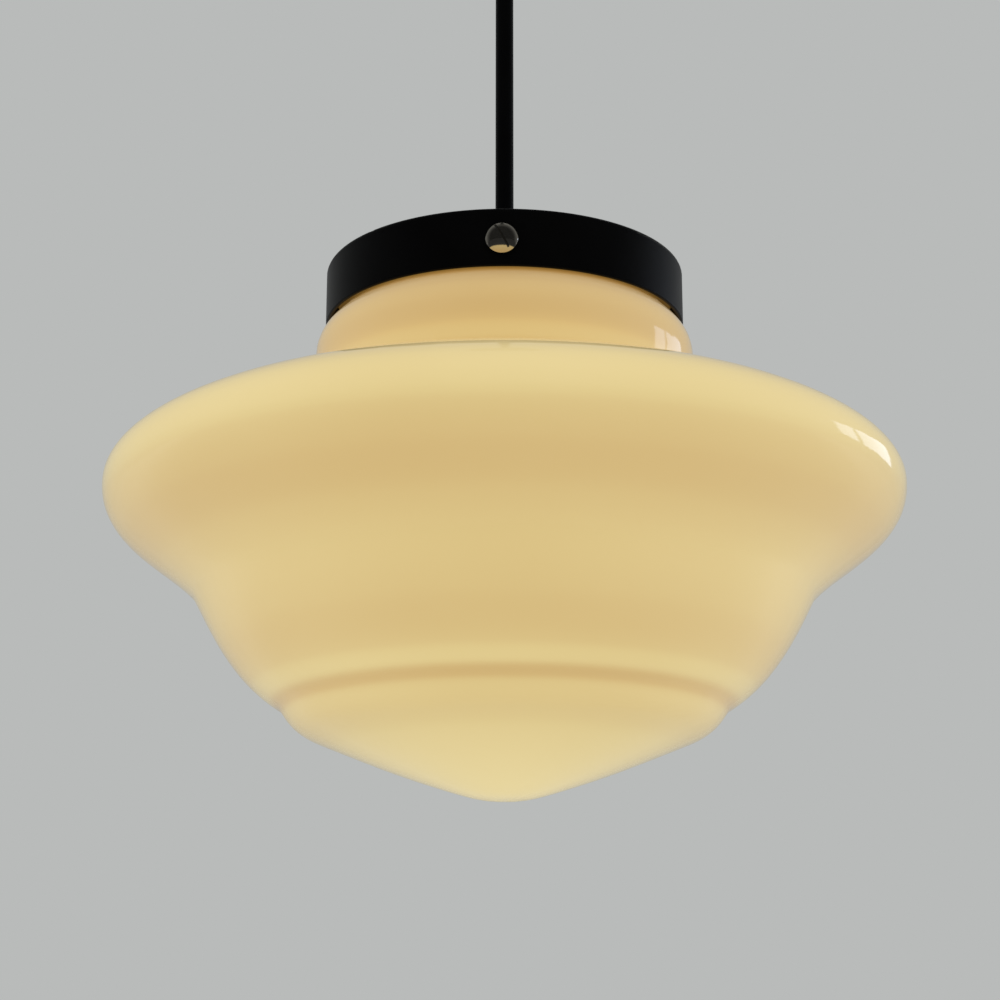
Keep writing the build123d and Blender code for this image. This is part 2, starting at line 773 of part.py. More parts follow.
glass_places = [
    (neck_r, lip_top, -90, 0.33, 0.33),
    (neck_r, -cove_start_drop, -90, 0.33, 0.35),
    (cove_end_r, -cove_end_drop, -45, 0.35, 0.33),
    (slope_end_r, -slope_end_drop, -45, 0.33, 0.35),
    (bulge_r, -bulge_drop, -90, 0.35, 0.36),
    (crease_r, -crease_drop, -103, 0.36, 0.40),
    (shoulder_r, -shoulder_drop, -15, 0.40, 0.31),
    (brim_r, -brim_drop, -90, 0.26, 0.345),
    (bend_r, -bend_drop, -135.6, 0.41, 0.36),
    (bowl_r, -bowl_drop, -116, 0.36, 0.37),
    (ring_r, -ring_drop, -149.4, 0.33, 0.36),
    (step_r, -step_drop, -121.7, 0.36, 0.41),
    (bead_r, -bead_drop, -157.8, 0.35, 0.35),
    (cone_r, -cone_drop, -162.4, 0.43, 0.36),
    (0, -tip_drop, -180, 0.40, 0.33),
]
glass_plane = Plane(origin=(0, 0, rim_z), x_dir=(1, 0, 0), z_dir=(0, -1, 0))
with BuildPart() as shade:
    with BuildSketch(glass_plane):
        with BuildLine():
            outer_ends = skin_line(glass_places, 0)
            inner_ends = skin_line(glass_places, glass_wall)
            Line(outer_ends[0], inner_ends[0])
            Line(outer_ends[1], inner_ends[1])
        make_face()
    revolve(axis=Axis.Z)
    with BuildSketch(Plane.XY.offset(lip_bottom_z)):
        Circle(lip_r)
        Circle(neck_r - glass_wall / 2, mode=Mode.SUBTRACT)
    extrude(amount=lip_height)
    circles = shade.edges().filter_by(GeomType.CIRCLE)
    lip_edges = circles.filter_by(lambda edge: abs(edge.radius - lip_r) < 0.01)
    fillet(lip_edges, lip_round)
    mouth = shade.edges().filter_by(GeomType.CIRCLE).group_by(Axis.Z)[-1].sort_by(SortBy.RADIUS)[0]
    fillet(mouth, mouth_round)
shade.part.label = "shade"
export_step(shade.part, "parts/shade.step")

# Lampholder cap: moulded dome with a threaded neck, its skirt closes on the sleeve's spigot
with BuildPart() as holder_cap:
    with BuildSketch(Plane.XZ):
        with BuildLine():
            neck_in = male_r + thread_gap
            Line((neck_in, holder_top_z), (holder_neck_r, holder_top_z))
            Line((holder_neck_r, holder_top_z), (holder_neck_r, dome_top_z))
            shoulder_end = (dome_r, dome_bottom_z)
            Bezier(
                (holder_neck_r, dome_top_z),
                (dome_r - dome_share * (dome_r - holder_neck_r), dome_top_z),
                (dome_r, dome_bottom_z + dome_share * dome_height),
                shoulder_end,
            )
            Line(shoulder_end, (dome_r, ledge_z))
            Line((dome_r, ledge_z), (dome_r - holder_wall, ledge_z))
            inner_end = (dome_r - holder_wall, dome_bottom_z)
            inner_top = dome_top_z - holder_wall
            Line((dome_r - holder_wall, ledge_z), inner_end)
            Bezier(
                inner_end,
                (inner_end[0], dome_bottom_z + dome_share * dome_height - holder_wall / 2),
                (dome_r - holder_wall - dome_share * (dome_r - holder_neck_r), inner_top),
                (neck_in, inner_top),
            )
            Line((neck_in, inner_top), (neck_in, holder_top_z))
        make_face()
    revolve(axis=Axis.Z)
    cap_circles = holder_cap.edges().filter_by(GeomType.CIRCLE)
    fillet(cap_circles.group_by(Axis.Z)[-1].sort_by(SortBy.RADIUS)[-1], mould_round)
holder_cap.part.label = "holder_cap"
export_step(holder_cap.part, "parts/holder_cap.step")

# Lampholder insert: porcelain disc on the sleeve's ledge, it carries the terminals and contacts
with BuildPart() as holder_insert:
    with BuildSketch(Plane.XY.offset(ledge_z)):
        Circle(insert_r)
    extrude(amount=insert_height)
    fillet(holder_insert.edges().filter_by(GeomType.CIRCLE).group_by(Axis.Z)[-1], mould_round)
holder_insert.part.label = "holder_insert"
export_step(holder_insert.part, "parts/holder_insert.step")

# Terminal posts: three brass blocks on the insert, for the live, neutral and earth wires
post_angles = [0, 180, 90]
with BuildPart() as holder_posts:
    for angle in post_angles:
        post_x = post_ring_r * cos(radians(angle))
        post_y = post_ring_r * sin(radians(angle))
        with BuildSketch(Plane.XY.offset(insert_top_z)):
            with Locations((post_x, post_y)):
                Rectangle(post_side, post_side)
        extrude(amount=post_height)
        with Locations((post_x, post_y, post_top_z)):
            Hole(wire_d / 2 + fitting_gap, depth=post_height - post_floor)
        with BuildSketch(outward(angle, insert_top_z + post_height / 2)):
            Circle(post_screw_d / 2 + thread_gap)
        extrude(amount=post_ring_r + post_side, mode=Mode.SUBTRACT)
holder_posts.part.label = "holder_posts"
export_step(holder_posts.part, "parts/holder_posts.step")

# Terminal post screws: slotted brass grubs that clamp the wires from the outer side
post_screw_in = post_ring_r + wire_d / 2 + fitting_gap
post_screw_end = post_ring_r + post_side / 2 + post_screw_out
with BuildPart() as post_screws:
    for angle in post_angles:
        post_face = outward(angle, insert_top_z + post_height / 2).offset(post_screw_end)
        with BuildSketch(post_face):
            Circle(post_screw_d / 2)
        extrude(amount=post_screw_in - post_screw_end)
        with BuildSketch(post_face):
            Rectangle(post_screw_d, grub_slot)
        extrude(amount=-grub_slot_depth, mode=Mode.SUBTRACT)
post_screws.part.label = "post_screws"
export_step(post_screws.part, "parts/post_screws.step")

# Lampholder sleeve: moulded tube with a spigot inside the cap's skirt and a flange under it
ledge_in = tube_r - tube_wall
with BuildPart() as holder_tube:
    with BuildSketch(Plane.XY.offset(ledge_z)):
        Circle(spigot_r)
        Circle(spigot_r - spigot_wall, mode=Mode.SUBTRACT)
    extrude(amount=spigot_height)
    with BuildSketch(Plane.XY.offset(ledge_z - flange_height)):
        Circle(dome_r)
    extrude(amount=flange_height)
    fillet(holder_tube.edges().filter_by(GeomType.CIRCLE).group_by(Axis.Z)[0], flange_round)
    with BuildSketch(Plane.XY.offset(ledge_z - flange_height - tube_height)):
        Circle(tube_r)
    extrude(amount=tube_height)
    with BuildSketch(Plane.XY.offset(ledge_z - flange_height - tube_height)):
        Circle(ledge_in)
    extrude(amount=flange_height + tube_height, mode=Mode.SUBTRACT)
    fillet(holder_tube.edges().filter_by(GeomType.CIRCLE).group_by(Axis.Z)[0], mould_round)
holder_tube.part.label = "holder_tube"
export_step(holder_tube.part, "parts/holder_tube.step")

# Threaded sleeve: pressed brass, it hangs from the insert and takes the lamp's cap
with BuildPart() as threaded_sleeve:
    with BuildSketch(Plane.XY.offset(ledge_z - sleeve_height)):
        Circle(sleeve_r)
    extrude(amount=sleeve_height)
    with BuildSketch(Plane.XY.offset(ledge_z - sleeve_height)):
        Circle(sleeve_r - sleeve_wall)
    extrude(amount=sleeve_height - sleeve_wall, mode=Mode.SUBTRACT)
    with Locations((0, 0, ledge_z)):
        Hole(sleeve_hole_r)
threaded_sleeve.part.label = "threaded_sleeve"
export_step(threaded_sleeve.part, "parts/threaded_sleeve.step")

# Centre contact: springy brass tongue under the insert that bears on the lamp's contact
tongue_root = sleeve_hole_r - tongue_inset
tongue_bend = tongue_root - tongue_foot
tongue_level = ledge_z - tongue_thick - tongue_drop
with BuildPart() as centre_contact:
    with BuildSketch(Plane.XZ.offset(-tongue_width / 2)):
        with BuildLine():
            Polyline(
                (tongue_root, ledge_z),
                (tongue_root, ledge_z - tongue_thick),
                (tongue_bend, ledge_z - tongue_thick),
                (tongue_tip, tongue_level),
                (-tongue_tip, tongue_level),
                (-tongue_tip, tongue_level + tongue_thick),
                (tongue_tip - tongue_lap, tongue_level + tongue_thick),
                (tongue_bend - tongue_lap, ledge_z),
                close=True,
            )
        make_face()
    extrude(amount=tongue_width)
centre_contact.part.label = "centre_contact"
export_step(centre_contact.part, "parts/centre_contact.step")

# Wires: one insulated core each, from the terminal block over the stem's top, down the stem and
# out to its post in the lampholder
wire_top_z = stem_top_z + wire_rise
wire_high_z = wire_top_z + wire_d + seat_gap
wire_out_x = block_width / 2 + wire_side
wire_far_x = wire_out_x + wire_spread
wire_split_z = male_bottom_z - wire_tail
wire_turn_z = post_top_z + wire_over_post
wire_end_z = post_top_z - wire_in_post
wire_plans = {
    "live_wire": (0, pole_levels[2], wire_top_z, wire_out_x, 0),
    "earth_wire": (120, pole_levels[0], wire_high_z, wire_far_x, 90),
    "neutral_wire": (240, pole_levels[1], wire_high_z, wire_out_x, 180),
}
wire_radii = [wire_fan_r, wire_fan_r, wire_bend_r, wire_bend_r, wire_bend_r]
for wire_name, plan in wire_plans.items():
    ring_angle, pole_z, over_z, out_x, post_angle = plan
    ring_x = wire_ring_r * cos(radians(ring_angle))
    ring_y = wire_ring_r * sin(radians(ring_angle))
    post_x = post_ring_r * cos(radians(post_angle))
    post_y = post_ring_r * sin(radians(post_angle))
    wire_points = [
        (post_x, post_y, wire_end_z),
        (post_x, post_y, wire_turn_z),
        (ring_x, ring_y, wire_split_z),
        (ring_x, ring_y, over_z),
        (out_x, ring_y, over_z),
        (out_x, block_y, pole_z),
        (clamp_x - clamp_screw_d, block_y, pole_z),
    ]
    wire = wire_along(wire_points, wire_radii, wire_d)
    wire.label = wire_name
    export_step(wire, f"parts/{wire_name}.step")

# Lamp bulb cap: thin brass shell with a rolled round thread and a plain end
cap_top_z = contact_z - cap_top_drop
cap_thread_end_z = cap_top_z - cap_pitch * cap_turns
cap_bottom_z = cap_thread_end_z - cap_plain
with BuildPart() as bulb_cap:
    with BuildSketch(Plane.XZ):
        with BuildLine():
            Line((0, cap_top_z), (cap_root_r, cap_top_z))
            for turn_number in range(cap_turns):
                ridge_z = cap_top_z - cap_pitch * turn_number
                ThreePointArc(
                    (cap_root_r, ridge_z),
                    (cap_r, ridge_z - cap_pitch / 2),
                    (cap_root_r, ridge_z - cap_pitch),
                )
            Line((cap_root_r, cap_thread_end_z), (cap_root_r, cap_bottom_z))
            Line((cap_root_r, cap_bottom_z), (0, cap_bottom_z))
            Line((0, cap_bottom_z), (0, cap_top_z))
        make_face()
    revolve(axis=Axis.Z)
    with BuildSketch(Plane.XY.offset(cap_bottom_z)):
        Circle(cap_root_r - bulb_glass)
    extrude(amount=cap_top_z - cap_bottom_z, mode=Mode.SUBTRACT)
bulb_cap.part.label = "bulb_cap"
export_step(bulb_cap.part, "parts/bulb_cap.step")

# Lamp cap insulator: black glass that closes the top of the cap round the centre contact
insulator_in = cap_root_r - bulb_glass
with BuildPart() as bulb_insulator:
    with BuildSketch(Plane.XZ):
        with BuildLine():
            Polyline(
                (0, contact_z - contact_height),
                (contact_r, contact_z - contact_height),
                (insulator_in, cap_top_z + insulator_lip),
                (insulator_in, cap_top_z - insulator_deep),
                (0, cap_top_z - insulator_deep),
                close=True,
            )
        make_face()
    revolve(axis=Axis.Z)
bulb_insulator.part.label = "bulb_insulator"
export_step(bulb_insulator.part, "parts/bulb_insulator.step")

# Lamp centre contact: soldered button
with BuildPart() as bulb_contact:
    with BuildSketch(Plane.XY.offset(contact_z - contact_height)):
        Circle(contact_r)
    extrude(amount=contact_height)
    fillet(bulb_contact.edges().filter_by(GeomType.CIRCLE).group_by(Axis.Z)[-1], contact_round)
bulb_contact.part.label = "bulb_contact"
export_step(bulb_contact.part, "parts/bulb_contact.step")

# Lamp glass: thin frosted pear, closed round its inner stem and cemented in the cap
bulb_middle_z = contact_z - bulb_length + bulb_r
bulb_top_z = cap_bottom_z - seat_gap
pear_drop = bulb_top_z - bulb_middle_z
inner_neck_r = bulb_neck_r - bulb_glass
with BuildPart() as bulb_globe:
    with BuildSketch(Plane.XZ):
        with BuildLine():
            Line((0, bulb_top_z), (bulb_neck_r, bulb_top_z))
            Bezier(
                (bulb_neck_r, bulb_top_z),
                (bulb_neck_r, bulb_top_z - pear_share * pear_drop),
                (bulb_r, bulb_middle_z + belly_share * bulb_r),
                (bulb_r, bulb_middle_z),
            )
            RadiusArc((bulb_r, bulb_middle_z), (0, bulb_middle_z - bulb_r), bulb_r)
            Line((0, bulb_middle_z - bulb_r), (0, bulb_middle_z - bulb_r + bulb_glass))
            inner_r = bulb_r - bulb_glass
            RadiusArc((0, bulb_middle_z - inner_r), (inner_r, bulb_middle_z), -inner_r)
            inner_top_z = bulb_top_z - bulb_glass
            Bezier(
                (inner_r, bulb_middle_z),
                (inner_r, bulb_middle_z + belly_share * bulb_r),
                (inner_neck_r, bulb_top_z - pear_share * pear_drop),
                (inner_neck_r, inner_top_z),
            )
            Line((inner_neck_r, inner_top_z), (0, inner_top_z))
            Line((0, inner_top_z), (0, bulb_top_z))
        make_face()
    revolve(axis=Axis.Z)
bulb_globe.part.label = "bulb_globe"
export_step(bulb_globe.part, "parts/bulb_globe.step")

# Inner glass stem: flared foot on the neck's closed end, it carries the filament frame
with BuildPart() as glass_stem:
    with BuildSketch(Plane.XY.offset(inner_top_z - glass_stem_length)):
        Circle(glass_stem_r)
    extrude(amount=glass_stem_length)
    with BuildSketch(Plane.XY.offset(inner_top_z)):
        Circle(flare_r)
    with BuildSketch(Plane.XY.offset(inner_top_z - flare_height)):
        Circle(glass_stem_r)
    loft()
    fillet(glass_stem.edges().filter_by(GeomType.CIRCLE).group_by(Axis.Z)[0], glass_stem_round)
glass_stem.part.label = "glass_stem"
export_step(glass_stem.part, "parts/glass_stem.step")

# Filament frame: nickel wire mast below the stem with a ring above and below the filaments
stem_foot_z = inner_top_z - glass_stem_length
upper_ring_z = stem_foot_z - mast_gap
lower_ring_z = upper_ring_z - frame_wire_d - filament_length
with BuildPart() as filament_frame:
    with BuildSketch(Plane.XY.offset(lower_ring_z - frame_wire_d / 2)):
        Circle(frame_wire_d / 2)
    extrude(amount=stem_foot_z - lower_ring_z + frame_wire_d / 2)
    for ring_z in (upper_ring_z, lower_ring_z):
        with Locations((0, 0, ring_z)):
            Torus(filament_ring_r, frame_wire_d / 2)
        with BuildSketch(Plane.YZ.offset(-filament_ring_r)):
            with Locations((0, ring_z)):
                Circle(frame_wire_d / 2)
        extrude(amount=2 * filament_ring_r)
filament_frame.part.label = "filament_frame"
export_step(filament_frame.part, "parts/filament_frame.step")

# Filaments: straight rods between the two rings
with BuildPart() as filaments:
    with BuildSketch(Plane.XY.offset(lower_ring_z + frame_wire_d / 2)):
        with PolarLocations(filament_ring_r, filament_count, start_angle=45):
            Circle(filament_d / 2)
    extrude(amount=filament_length)
filaments.part.label = "filaments"
export_step(filaments.part, "parts/filaments.step")
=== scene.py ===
# %% [markdown]
# # A lit glass pendant lamp
#
# This lesson dresses a finished solid model of a pendant lamp: a stepped opal glass shade, held by
# three thumb screws in a black spun cup, on a tube that hangs from a ceiling hook. The solids come
# in ready made and stay as they are. What is left for Blender is light, camera and surface: how
# blown glass glows, how enamel, nickel and porcelain catch the light.

# %% Load the solid model
import math

import bmesh
import bpy
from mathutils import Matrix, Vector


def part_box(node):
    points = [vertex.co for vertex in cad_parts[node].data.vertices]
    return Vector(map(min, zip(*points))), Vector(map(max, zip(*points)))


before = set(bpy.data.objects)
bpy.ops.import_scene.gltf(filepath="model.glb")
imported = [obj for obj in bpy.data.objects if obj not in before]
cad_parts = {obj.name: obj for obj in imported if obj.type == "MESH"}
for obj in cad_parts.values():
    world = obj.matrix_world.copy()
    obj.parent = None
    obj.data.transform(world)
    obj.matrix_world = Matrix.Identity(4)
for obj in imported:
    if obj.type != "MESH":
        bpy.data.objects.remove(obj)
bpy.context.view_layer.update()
scene = bpy.context.scene

# %% [markdown]
# All sizes are in metres, and the solids hang below the ceiling at zero height. Levels on the glass
# are easier to read from the lower rim of the black cup, so one helper turns millimetres from that
# rim into a height in the scene.

# %% Sizes to work from
MM = 0.001
cup_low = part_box("fitter")[0]
glass_low, glass_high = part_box("shade")
RIM_Z = cup_low.z


def from_rim(millimetres):
    """Height in the scene of a level given in millimetres above the cup's lower rim."""
    return RIM_Z + millimetres * MM


print("cup rim at", round(RIM_Z, 4))
print("glass from", round(glass_low.z, 4), "to", round(glass_high.z, 4))

# %% [markdown]
# Materials are built from nodes. Two helpers keep that readable: one turns a colour as it is written
# on a paint card, an sRGB hex value, into the linear light that the renderer works in, and one adds a
# node together with its settings, its values and the links that feed it.

# %% Colour and node helpers


def linear(hex_colour):
    """Linear RGBA of an sRGB hex colour."""
    channels = [int(hex_colour[place : place + 2], 16) / 255 for place in (1, 3, 5)]
    light = [c / 12.92 if c <= 0.04045 else ((c + 0.055) / 1.055) ** 2.4 for c in channels]
    return (*light, 1.0)


def add_node(tree, kind, values=None, links=None, **settings):
    """Adds a node: settings are its properties, values fill its sockets and links feed them."""
    node = tree.nodes.new(kind)
    for name, value in settings.items():
        setattr(node, name, value)
    for name, value in (values or {}).items():
        node.inputs[name].default_value = value
    for name, source in (links or {}).items():
        tree.links.new(source, node.inputs[name])
    return node


print("cup enamel black is", [round(c, 4) for c in linear("#0a0a0b")])

# %% [markdown]
# Every finish starts the same way: a new material with one Principled shader, whose plain values are
# set on its own sockets, and the place of the point on the solid, which all patterns are drawn from.
# The place is the solid's own, so a pattern stays put when the piece turns or slides.

# %% Start of a finish


def new_finish(name, **sockets):
    """A material with its Principled shader: sockets are named with underscores for spaces."""
    material = bpy.data.materials.new(name)
    material.use_nodes = True
    tree = material.node_tree
    tree.nodes.clear()
    values = {key.replace("_", " "): value for key, value in sockets.items()}
    shader = add_node(tree, "ShaderNodeBsdfPrincipled", values)
    add_node(tree, "ShaderNodeOutputMaterial", links={"Surface": shader.outputs["BSDF"]})
    place = add_node(tree, "ShaderNodeTexCoord").outputs["Object"]
    return material, tree, shader, place


print("finish sockets such as Base_Color stand for 'Base Color'")

# %% [markdown]
# The camera stands low and looks up at the lamp by fifteen degrees, at about arm's length. A long
# lens of 75 mm keeps the rings of the glass as shallow ovals. Tilting the camera and not the lamp
# matters: the lamp hangs plumb. It stands not quite a degree to the right of the front screw.

# %% Camera
camera_far = 0.8574  # from the lamp's axis
camera_level = -308.6  # millimetres from the cup's rim
camera_tilt = 15.03  # degrees upwards
camera_turn = math.radians(0.8)
camera_data = bpy.data.cameras.new("camera")
camera_data.sensor_width = 36.0
camera_data.lens = 75.1
camera_data.shift_x = -0.0045
camera_data.shift_y = 0.005
camera_data.clip_start = 0.01
camera = bpy.data.objects.new("camera", camera_data)
camera.location = (
    camera_far * math.sin(camera_turn),
    -camera_far * math.cos(camera_turn),
    from_rim(camera_level),
)
camera.rotation_euler = (math.radians(90 + camera_tilt), 0.0, camera_turn)
scene.collection.objects.link(camera)
scene.camera = camera
print("camera at", [round(c, 3) for c in camera.location])

# %% [markdown]
# The room is plain and pale, and the world does three jobs. Camera and clear glass see a pale grey
# wall. Soft light gets an even fill. Gloss sees the wall too, but dimmed towards the camera's side
# of the room, which makes the polished parts read as metal: a plated face that looks at the camera
# mirrors something dark, while its edges pick up the lit glass and the window. It fades over the
# direction, with no edge, and it belongs to the room, so it stays in place in other views.

# %% World
WALL = "#b9bbba"
GLOSS_SHARE_FRONT = 0.04  # of the wall's light, on the camera's side
GLOSS_SHARE_BACK = 0.8  # behind the lamp
scene.view_settings.view_transform = "Standard"
world = bpy.data.worlds.new("pale room")
world.use_nodes = True
scene.world = world
room = world.node_tree
room.nodes.clear()
rays = add_node(room, "ShaderNodeLightPath")
direction = add_node(room, "ShaderNodeTexCoord").outputs["Generated"]
to_the_back = add_node(room, "ShaderNodeSeparateXYZ", links={0: direction}).outputs["Y"]
dimmer = add_node(
    room,
    "ShaderNodeMapRange",
    {
        "From Min": -0.4,
        "From Max": 1.0,
        "To Min": GLOSS_SHARE_FRONT,
        "To Max": GLOSS_SHARE_BACK,
    },
    {"Value": to_the_back},
    interpolation_type="SMOOTHSTEP",
).outputs["Result"]
straight = add_node(
    room,
    "ShaderNodeMath",
    links={0: rays.outputs["Is Camera Ray"], 1: rays.outputs["Is Transmission Ray"]},
    operation="MAXIMUM",
).outputs[0]
soft_fill = add_node(room, "ShaderNodeBackground", {"Color": linear("#b4b6b8"), "Strength": 0.96})
mirrored = add_node(room, "ShaderNodeBackground", {"Color": linear(WALL)}, {"Strength": dimmer})
wall = add_node(room, "ShaderNodeBackground", {"Color": linear(WALL), "Strength": 1.0})
gloss_or_fill = add_node(
    room,
    "ShaderNodeMixShader",
    links={0: rays.outputs["Is Glossy Ray"], 1: soft_fill.outputs[0], 2: mirrored.outputs[0]},
).outputs[0]
all_rays = add_node(
    room, "ShaderNodeMixShader", links={0: straight, 1: gloss_or_fill, 2: wall.outputs[0]}
).outputs[0]
add_node(room, "ShaderNodeOutputWorld", links={"Surface": all_rays})
print("world nodes:", len(room.nodes))

# %% [markdown]
# A plain lacquered floor lies well below the lamp. It throws a little light back up at the underside
# of the glass, as the floor of a room does. Where the camera, gloss or clear glass looks at it, it
# gets a trace of light of its own, so that it reads as pale as the wall and still takes shadows.
# Gloss sees its front part dimmer, like the room behind the camera, or the polished screw would
# mirror a bright band of floor.

# %% Floor
FLOOR_BELOW_GLASS = 0.9
FLOOR_HALF_WIDTH = 20.0
FLOOR_LIFT = 0.18  # light of its own
FLOOR_DIM_FRONT = 0.08  # share of the floor that gloss sees in front of the lamp
FLOOR_DIM_FROM = -0.3  # metres from the lamp, where that share ends
FLOOR_DIM_TO = 2.5  # and where gloss sees the whole of it
floor_finish, tree, shader, place = new_finish("floor: matt lacquered board", Roughness=0.7)
patches = add_node(tree, "ShaderNodeTexNoise", {"Scale": 1 / (400 * MM)}, {"Vector": place})
tint = add_node(
    tree,
    "ShaderNodeMix",
    {6: linear("#cfd0cf"), 7: linear("#d4d5d4")},
    {0: patches.outputs["Fac"]},
    data_type="RGBA",
).outputs[2]
looks = add_node(tree, "ShaderNodeLightPath")
depth = add_node(tree, "ShaderNodeSeparateXYZ", links={"Vector": place}).outputs["Y"]
front_dim = add_node(
    tree,
    "ShaderNodeMapRange",
    {
        "From Min": FLOOR_DIM_FROM,
        "From Max": FLOOR_DIM_TO,
        "To Min": FLOOR_DIM_FRONT,
        "To Max": 1.0,
    },
    {"Value": depth},
    interpolation_type="SMOOTHSTEP",
).outputs["Result"]
share_seen = add_node(
    tree, "ShaderNodeMix", {2: 1.0}, {0: looks.outputs["Is Glossy Ray"], 3: front_dim}
).outputs[0]
board = add_node(
    tree,
    "ShaderNodeMix",
    {6: linear("#000000")},
    {0: share_seen, 7: tint},
    data_type="RGBA",
).outputs[2]
tree.links.new(board, shader.inputs["Base Color"])
direct_look = add_node(
    tree,
    "ShaderNodeMath",
    links={0: looks.outputs["Is Camera Ray"], 1: looks.outputs["Is Transmission Ray"]},
    operation="MAXIMUM",
).outputs[0]
seen = add_node(
    tree,
    "ShaderNodeMath",
    links={0: direct_look, 1: looks.outputs["Is Glossy Ray"]},
    operation="MAXIMUM",
).outputs[0]
lift = add_node(
    tree, "ShaderNodeMath", {1: FLOOR_LIFT}, {0: seen}, operation="MULTIPLY"
).outputs[0]
tree.links.new(lift, shader.inputs["Emission Strength"])
tree.links.new(board, shader.inputs["Emission Color"])
floor_mesh = bpy.data.meshes.new("floor")
shape = bmesh.new()
bmesh.ops.create_grid(shape, x_segments=1, y_segments=1, size=FLOOR_HALF_WIDTH)
shape.to_mesh(floor_mesh)
shape.free()
floor = bpy.data.objects.new("floor", floor_mesh)
floor.location = (0.0, 0.0, glass_low.z - FLOOR_BELOW_GLASS)
floor_mesh.materials.append(floor_finish)
scene.collection.objects.link(floor)
print("floor at", round(floor.location.z, 3))

# %% [markdown]
# Three broad soft lamps give the daylight: one from the ceiling and one from each side, a little
# behind the lamp, so that the flanks of the glass turn paler than its front. They are too large and
# too near to be mirrored as they are, so gloss doesn't see them. What gloss does see is the window:
# two bright panes with a bar between them, to the right and a little behind. Its small bent image on
# the brim, the neck and the screw's edge tells the eye that this glass is fire-polished.

# %% Lamps


def soft_lamp(name, where, aim, size, watts, colour, mirrored_in_gloss):
    """Rectangular area lamp at a place, turned to face an aim."""
    data = bpy.data.lights.new(name, "AREA")
    data.shape = "RECTANGLE"
    data.size, data.size_y = size
    data.energy = watts
    data.color = linear(colour)[:3]
    lamp = bpy.data.objects.new(name, data)
    lamp.location = where
    towards = [a - w for a, w in zip(aim, where)]
    flat = math.hypot(towards[0], towards[1])
    lamp.rotation_euler = (math.atan2(flat, -towards[2]), 0.0, math.atan2(-towards[0], towards[1]))
    lamp.visible_glossy = mirrored_in_gloss
    scene.collection.objects.link(lamp)


glass_middle = (0.0, 0.0, from_rim(-80))  # edge of the brim
soft_lamp("ceiling", (-0.2, -0.5, from_rim(1000)), glass_middle, (1.6, 1.2), 3.0, "#ffffff", False)
soft_lamp("left side", (-1.5, 0.25, from_rim(-60)), glass_middle, (1.2, 1.2), 8.6, "#e8f1ff", False)
soft_lamp("right side", (1.5, 0.15, from_rim(-40)), glass_middle, (1.2, 1.2), 8.8, "#e8f1ff", False)

WINDOW_TURN = math.radians(25.0)
WINDOW_RISE = math.radians(13.0)
WINDOW_FAR = 1.8
window_middle = (
    WINDOW_FAR * math.cos(WINDOW_RISE) * math.cos(WINDOW_TURN),
    WINDOW_FAR * math.cos(WINDOW_RISE) * math.sin(WINDOW_TURN),
    glass_middle[2] + WINDOW_FAR * math.sin(WINDOW_RISE),
)
for label, aside, pane, watts in (
    ("window, narrow pane", -0.334, (0.30, 0.34), 0.75),
    ("window, wide pane", 0.173, (0.60, 0.34), 1.4),
):
    where = (
        window_middle[0] - aside * math.sin(WINDOW_TURN),
        window_middle[1] + aside * math.cos(WINDOW_TURN),
        window_middle[2],
    )
    soft_lamp(label, where, glass_middle, pane, watts, "#d3e3ff", True)

# %% [markdown]
# The shade is opal glass: cream glass blown into a mould, with a fine milkiness that scatters the
# light of the bulb, so that the whole skin glows. A real scattering volume is slow and noisy. What
# the eye reads is simpler: a glossy cream skin that gives off its own light. How much depends on the
# level: least up inside the cup, a dip where the neck folds into the shoulder, most on the brim's
# top, a duller belt below its edge, a thin dark line at the ring crease and a bright point below.
# Part of that is painted light. The low glow under the cup's rim is partly the bulb's weaker light
# there and partly painted shade of the rim. The dip at the fold is painted shade, the dark line at
# the ring crease is a painted shadow, and the bright ridge just above it is a painted highlight.
# Where the glow is strong the light has gone through less glass and looks paler, so the colour
# follows the strength. Large faint clouds vary both, as uneven blowing does.
#
# The amounts aren't a glass maker's data. A least-squares fit of test renders to a photograph of the
# lamp gave the first set, in a program that isn't part of this lesson. Rows were then added and
# changed to match the brightness of the photograph.

# %% Levels of the glow, with painted shade and a painted highlight
GLOW_AND_PAINTED_SHADE_LEVELS = [
    (20.0, 0.05),  # lip, inside the cup
    (3.0, 0.17),
    # partly the bulb's weaker light, partly painted shade of the cup's rim
    (-2.0, 0.43),  # slope that comes out under the cup's rim
    (-6.0, 0.49),
    (-10.0, 0.54),
    (-18.0, 0.51),  # widest part of the neck
    (-22.0, 0.54),
    (-29.0, 0.66),
    # painted shade in the fold between neck and shoulder
    (-32.0, 0.58),  # fold between neck and shoulder
    (-38.0, 0.58),
    (-50.0, 0.78),
    (-62.0, 0.81),  # shoulder
    (-67.0, 0.86),
    (-76.0, 0.87),  # edge of the brim
    (-81.0, 0.83),
    (-85.0, 0.75),
    (-94.0, 0.68),
    (-101.0, 0.64),  # dull belt under the brim
    (-112.0, 0.71),
    (-124.0, 0.76),  # top of the bowl
    (-138.0, 0.73),
    (-149.0, 0.68),
    (-157.0, 0.72),
    # painted highlight on the ridge, then a painted shadow line in the crease
    (-162.5, 0.83),  # ridge above the ring crease
    (-166.5, 0.58),  # ring crease
    (-168.5, 0.62),
    (-172.0, 0.77),
    (-177.0, 0.76),  # bead under the crease
    (-184.0, 0.85),
    (-192.0, 0.91),
    (-204.0, 1.00),  # tip
]
GLOW_TINTS = [(0.0, "#000000"), (0.35, "#a77c37"), (0.60, "#c4a15a"), (0.83, "#d4bb76"), (1.0, "#e3ce8d")]
print("the glow is set at", len(GLOW_AND_PAINTED_SHADE_LEVELS), "levels, in", len(GLOW_TINTS), "tints")

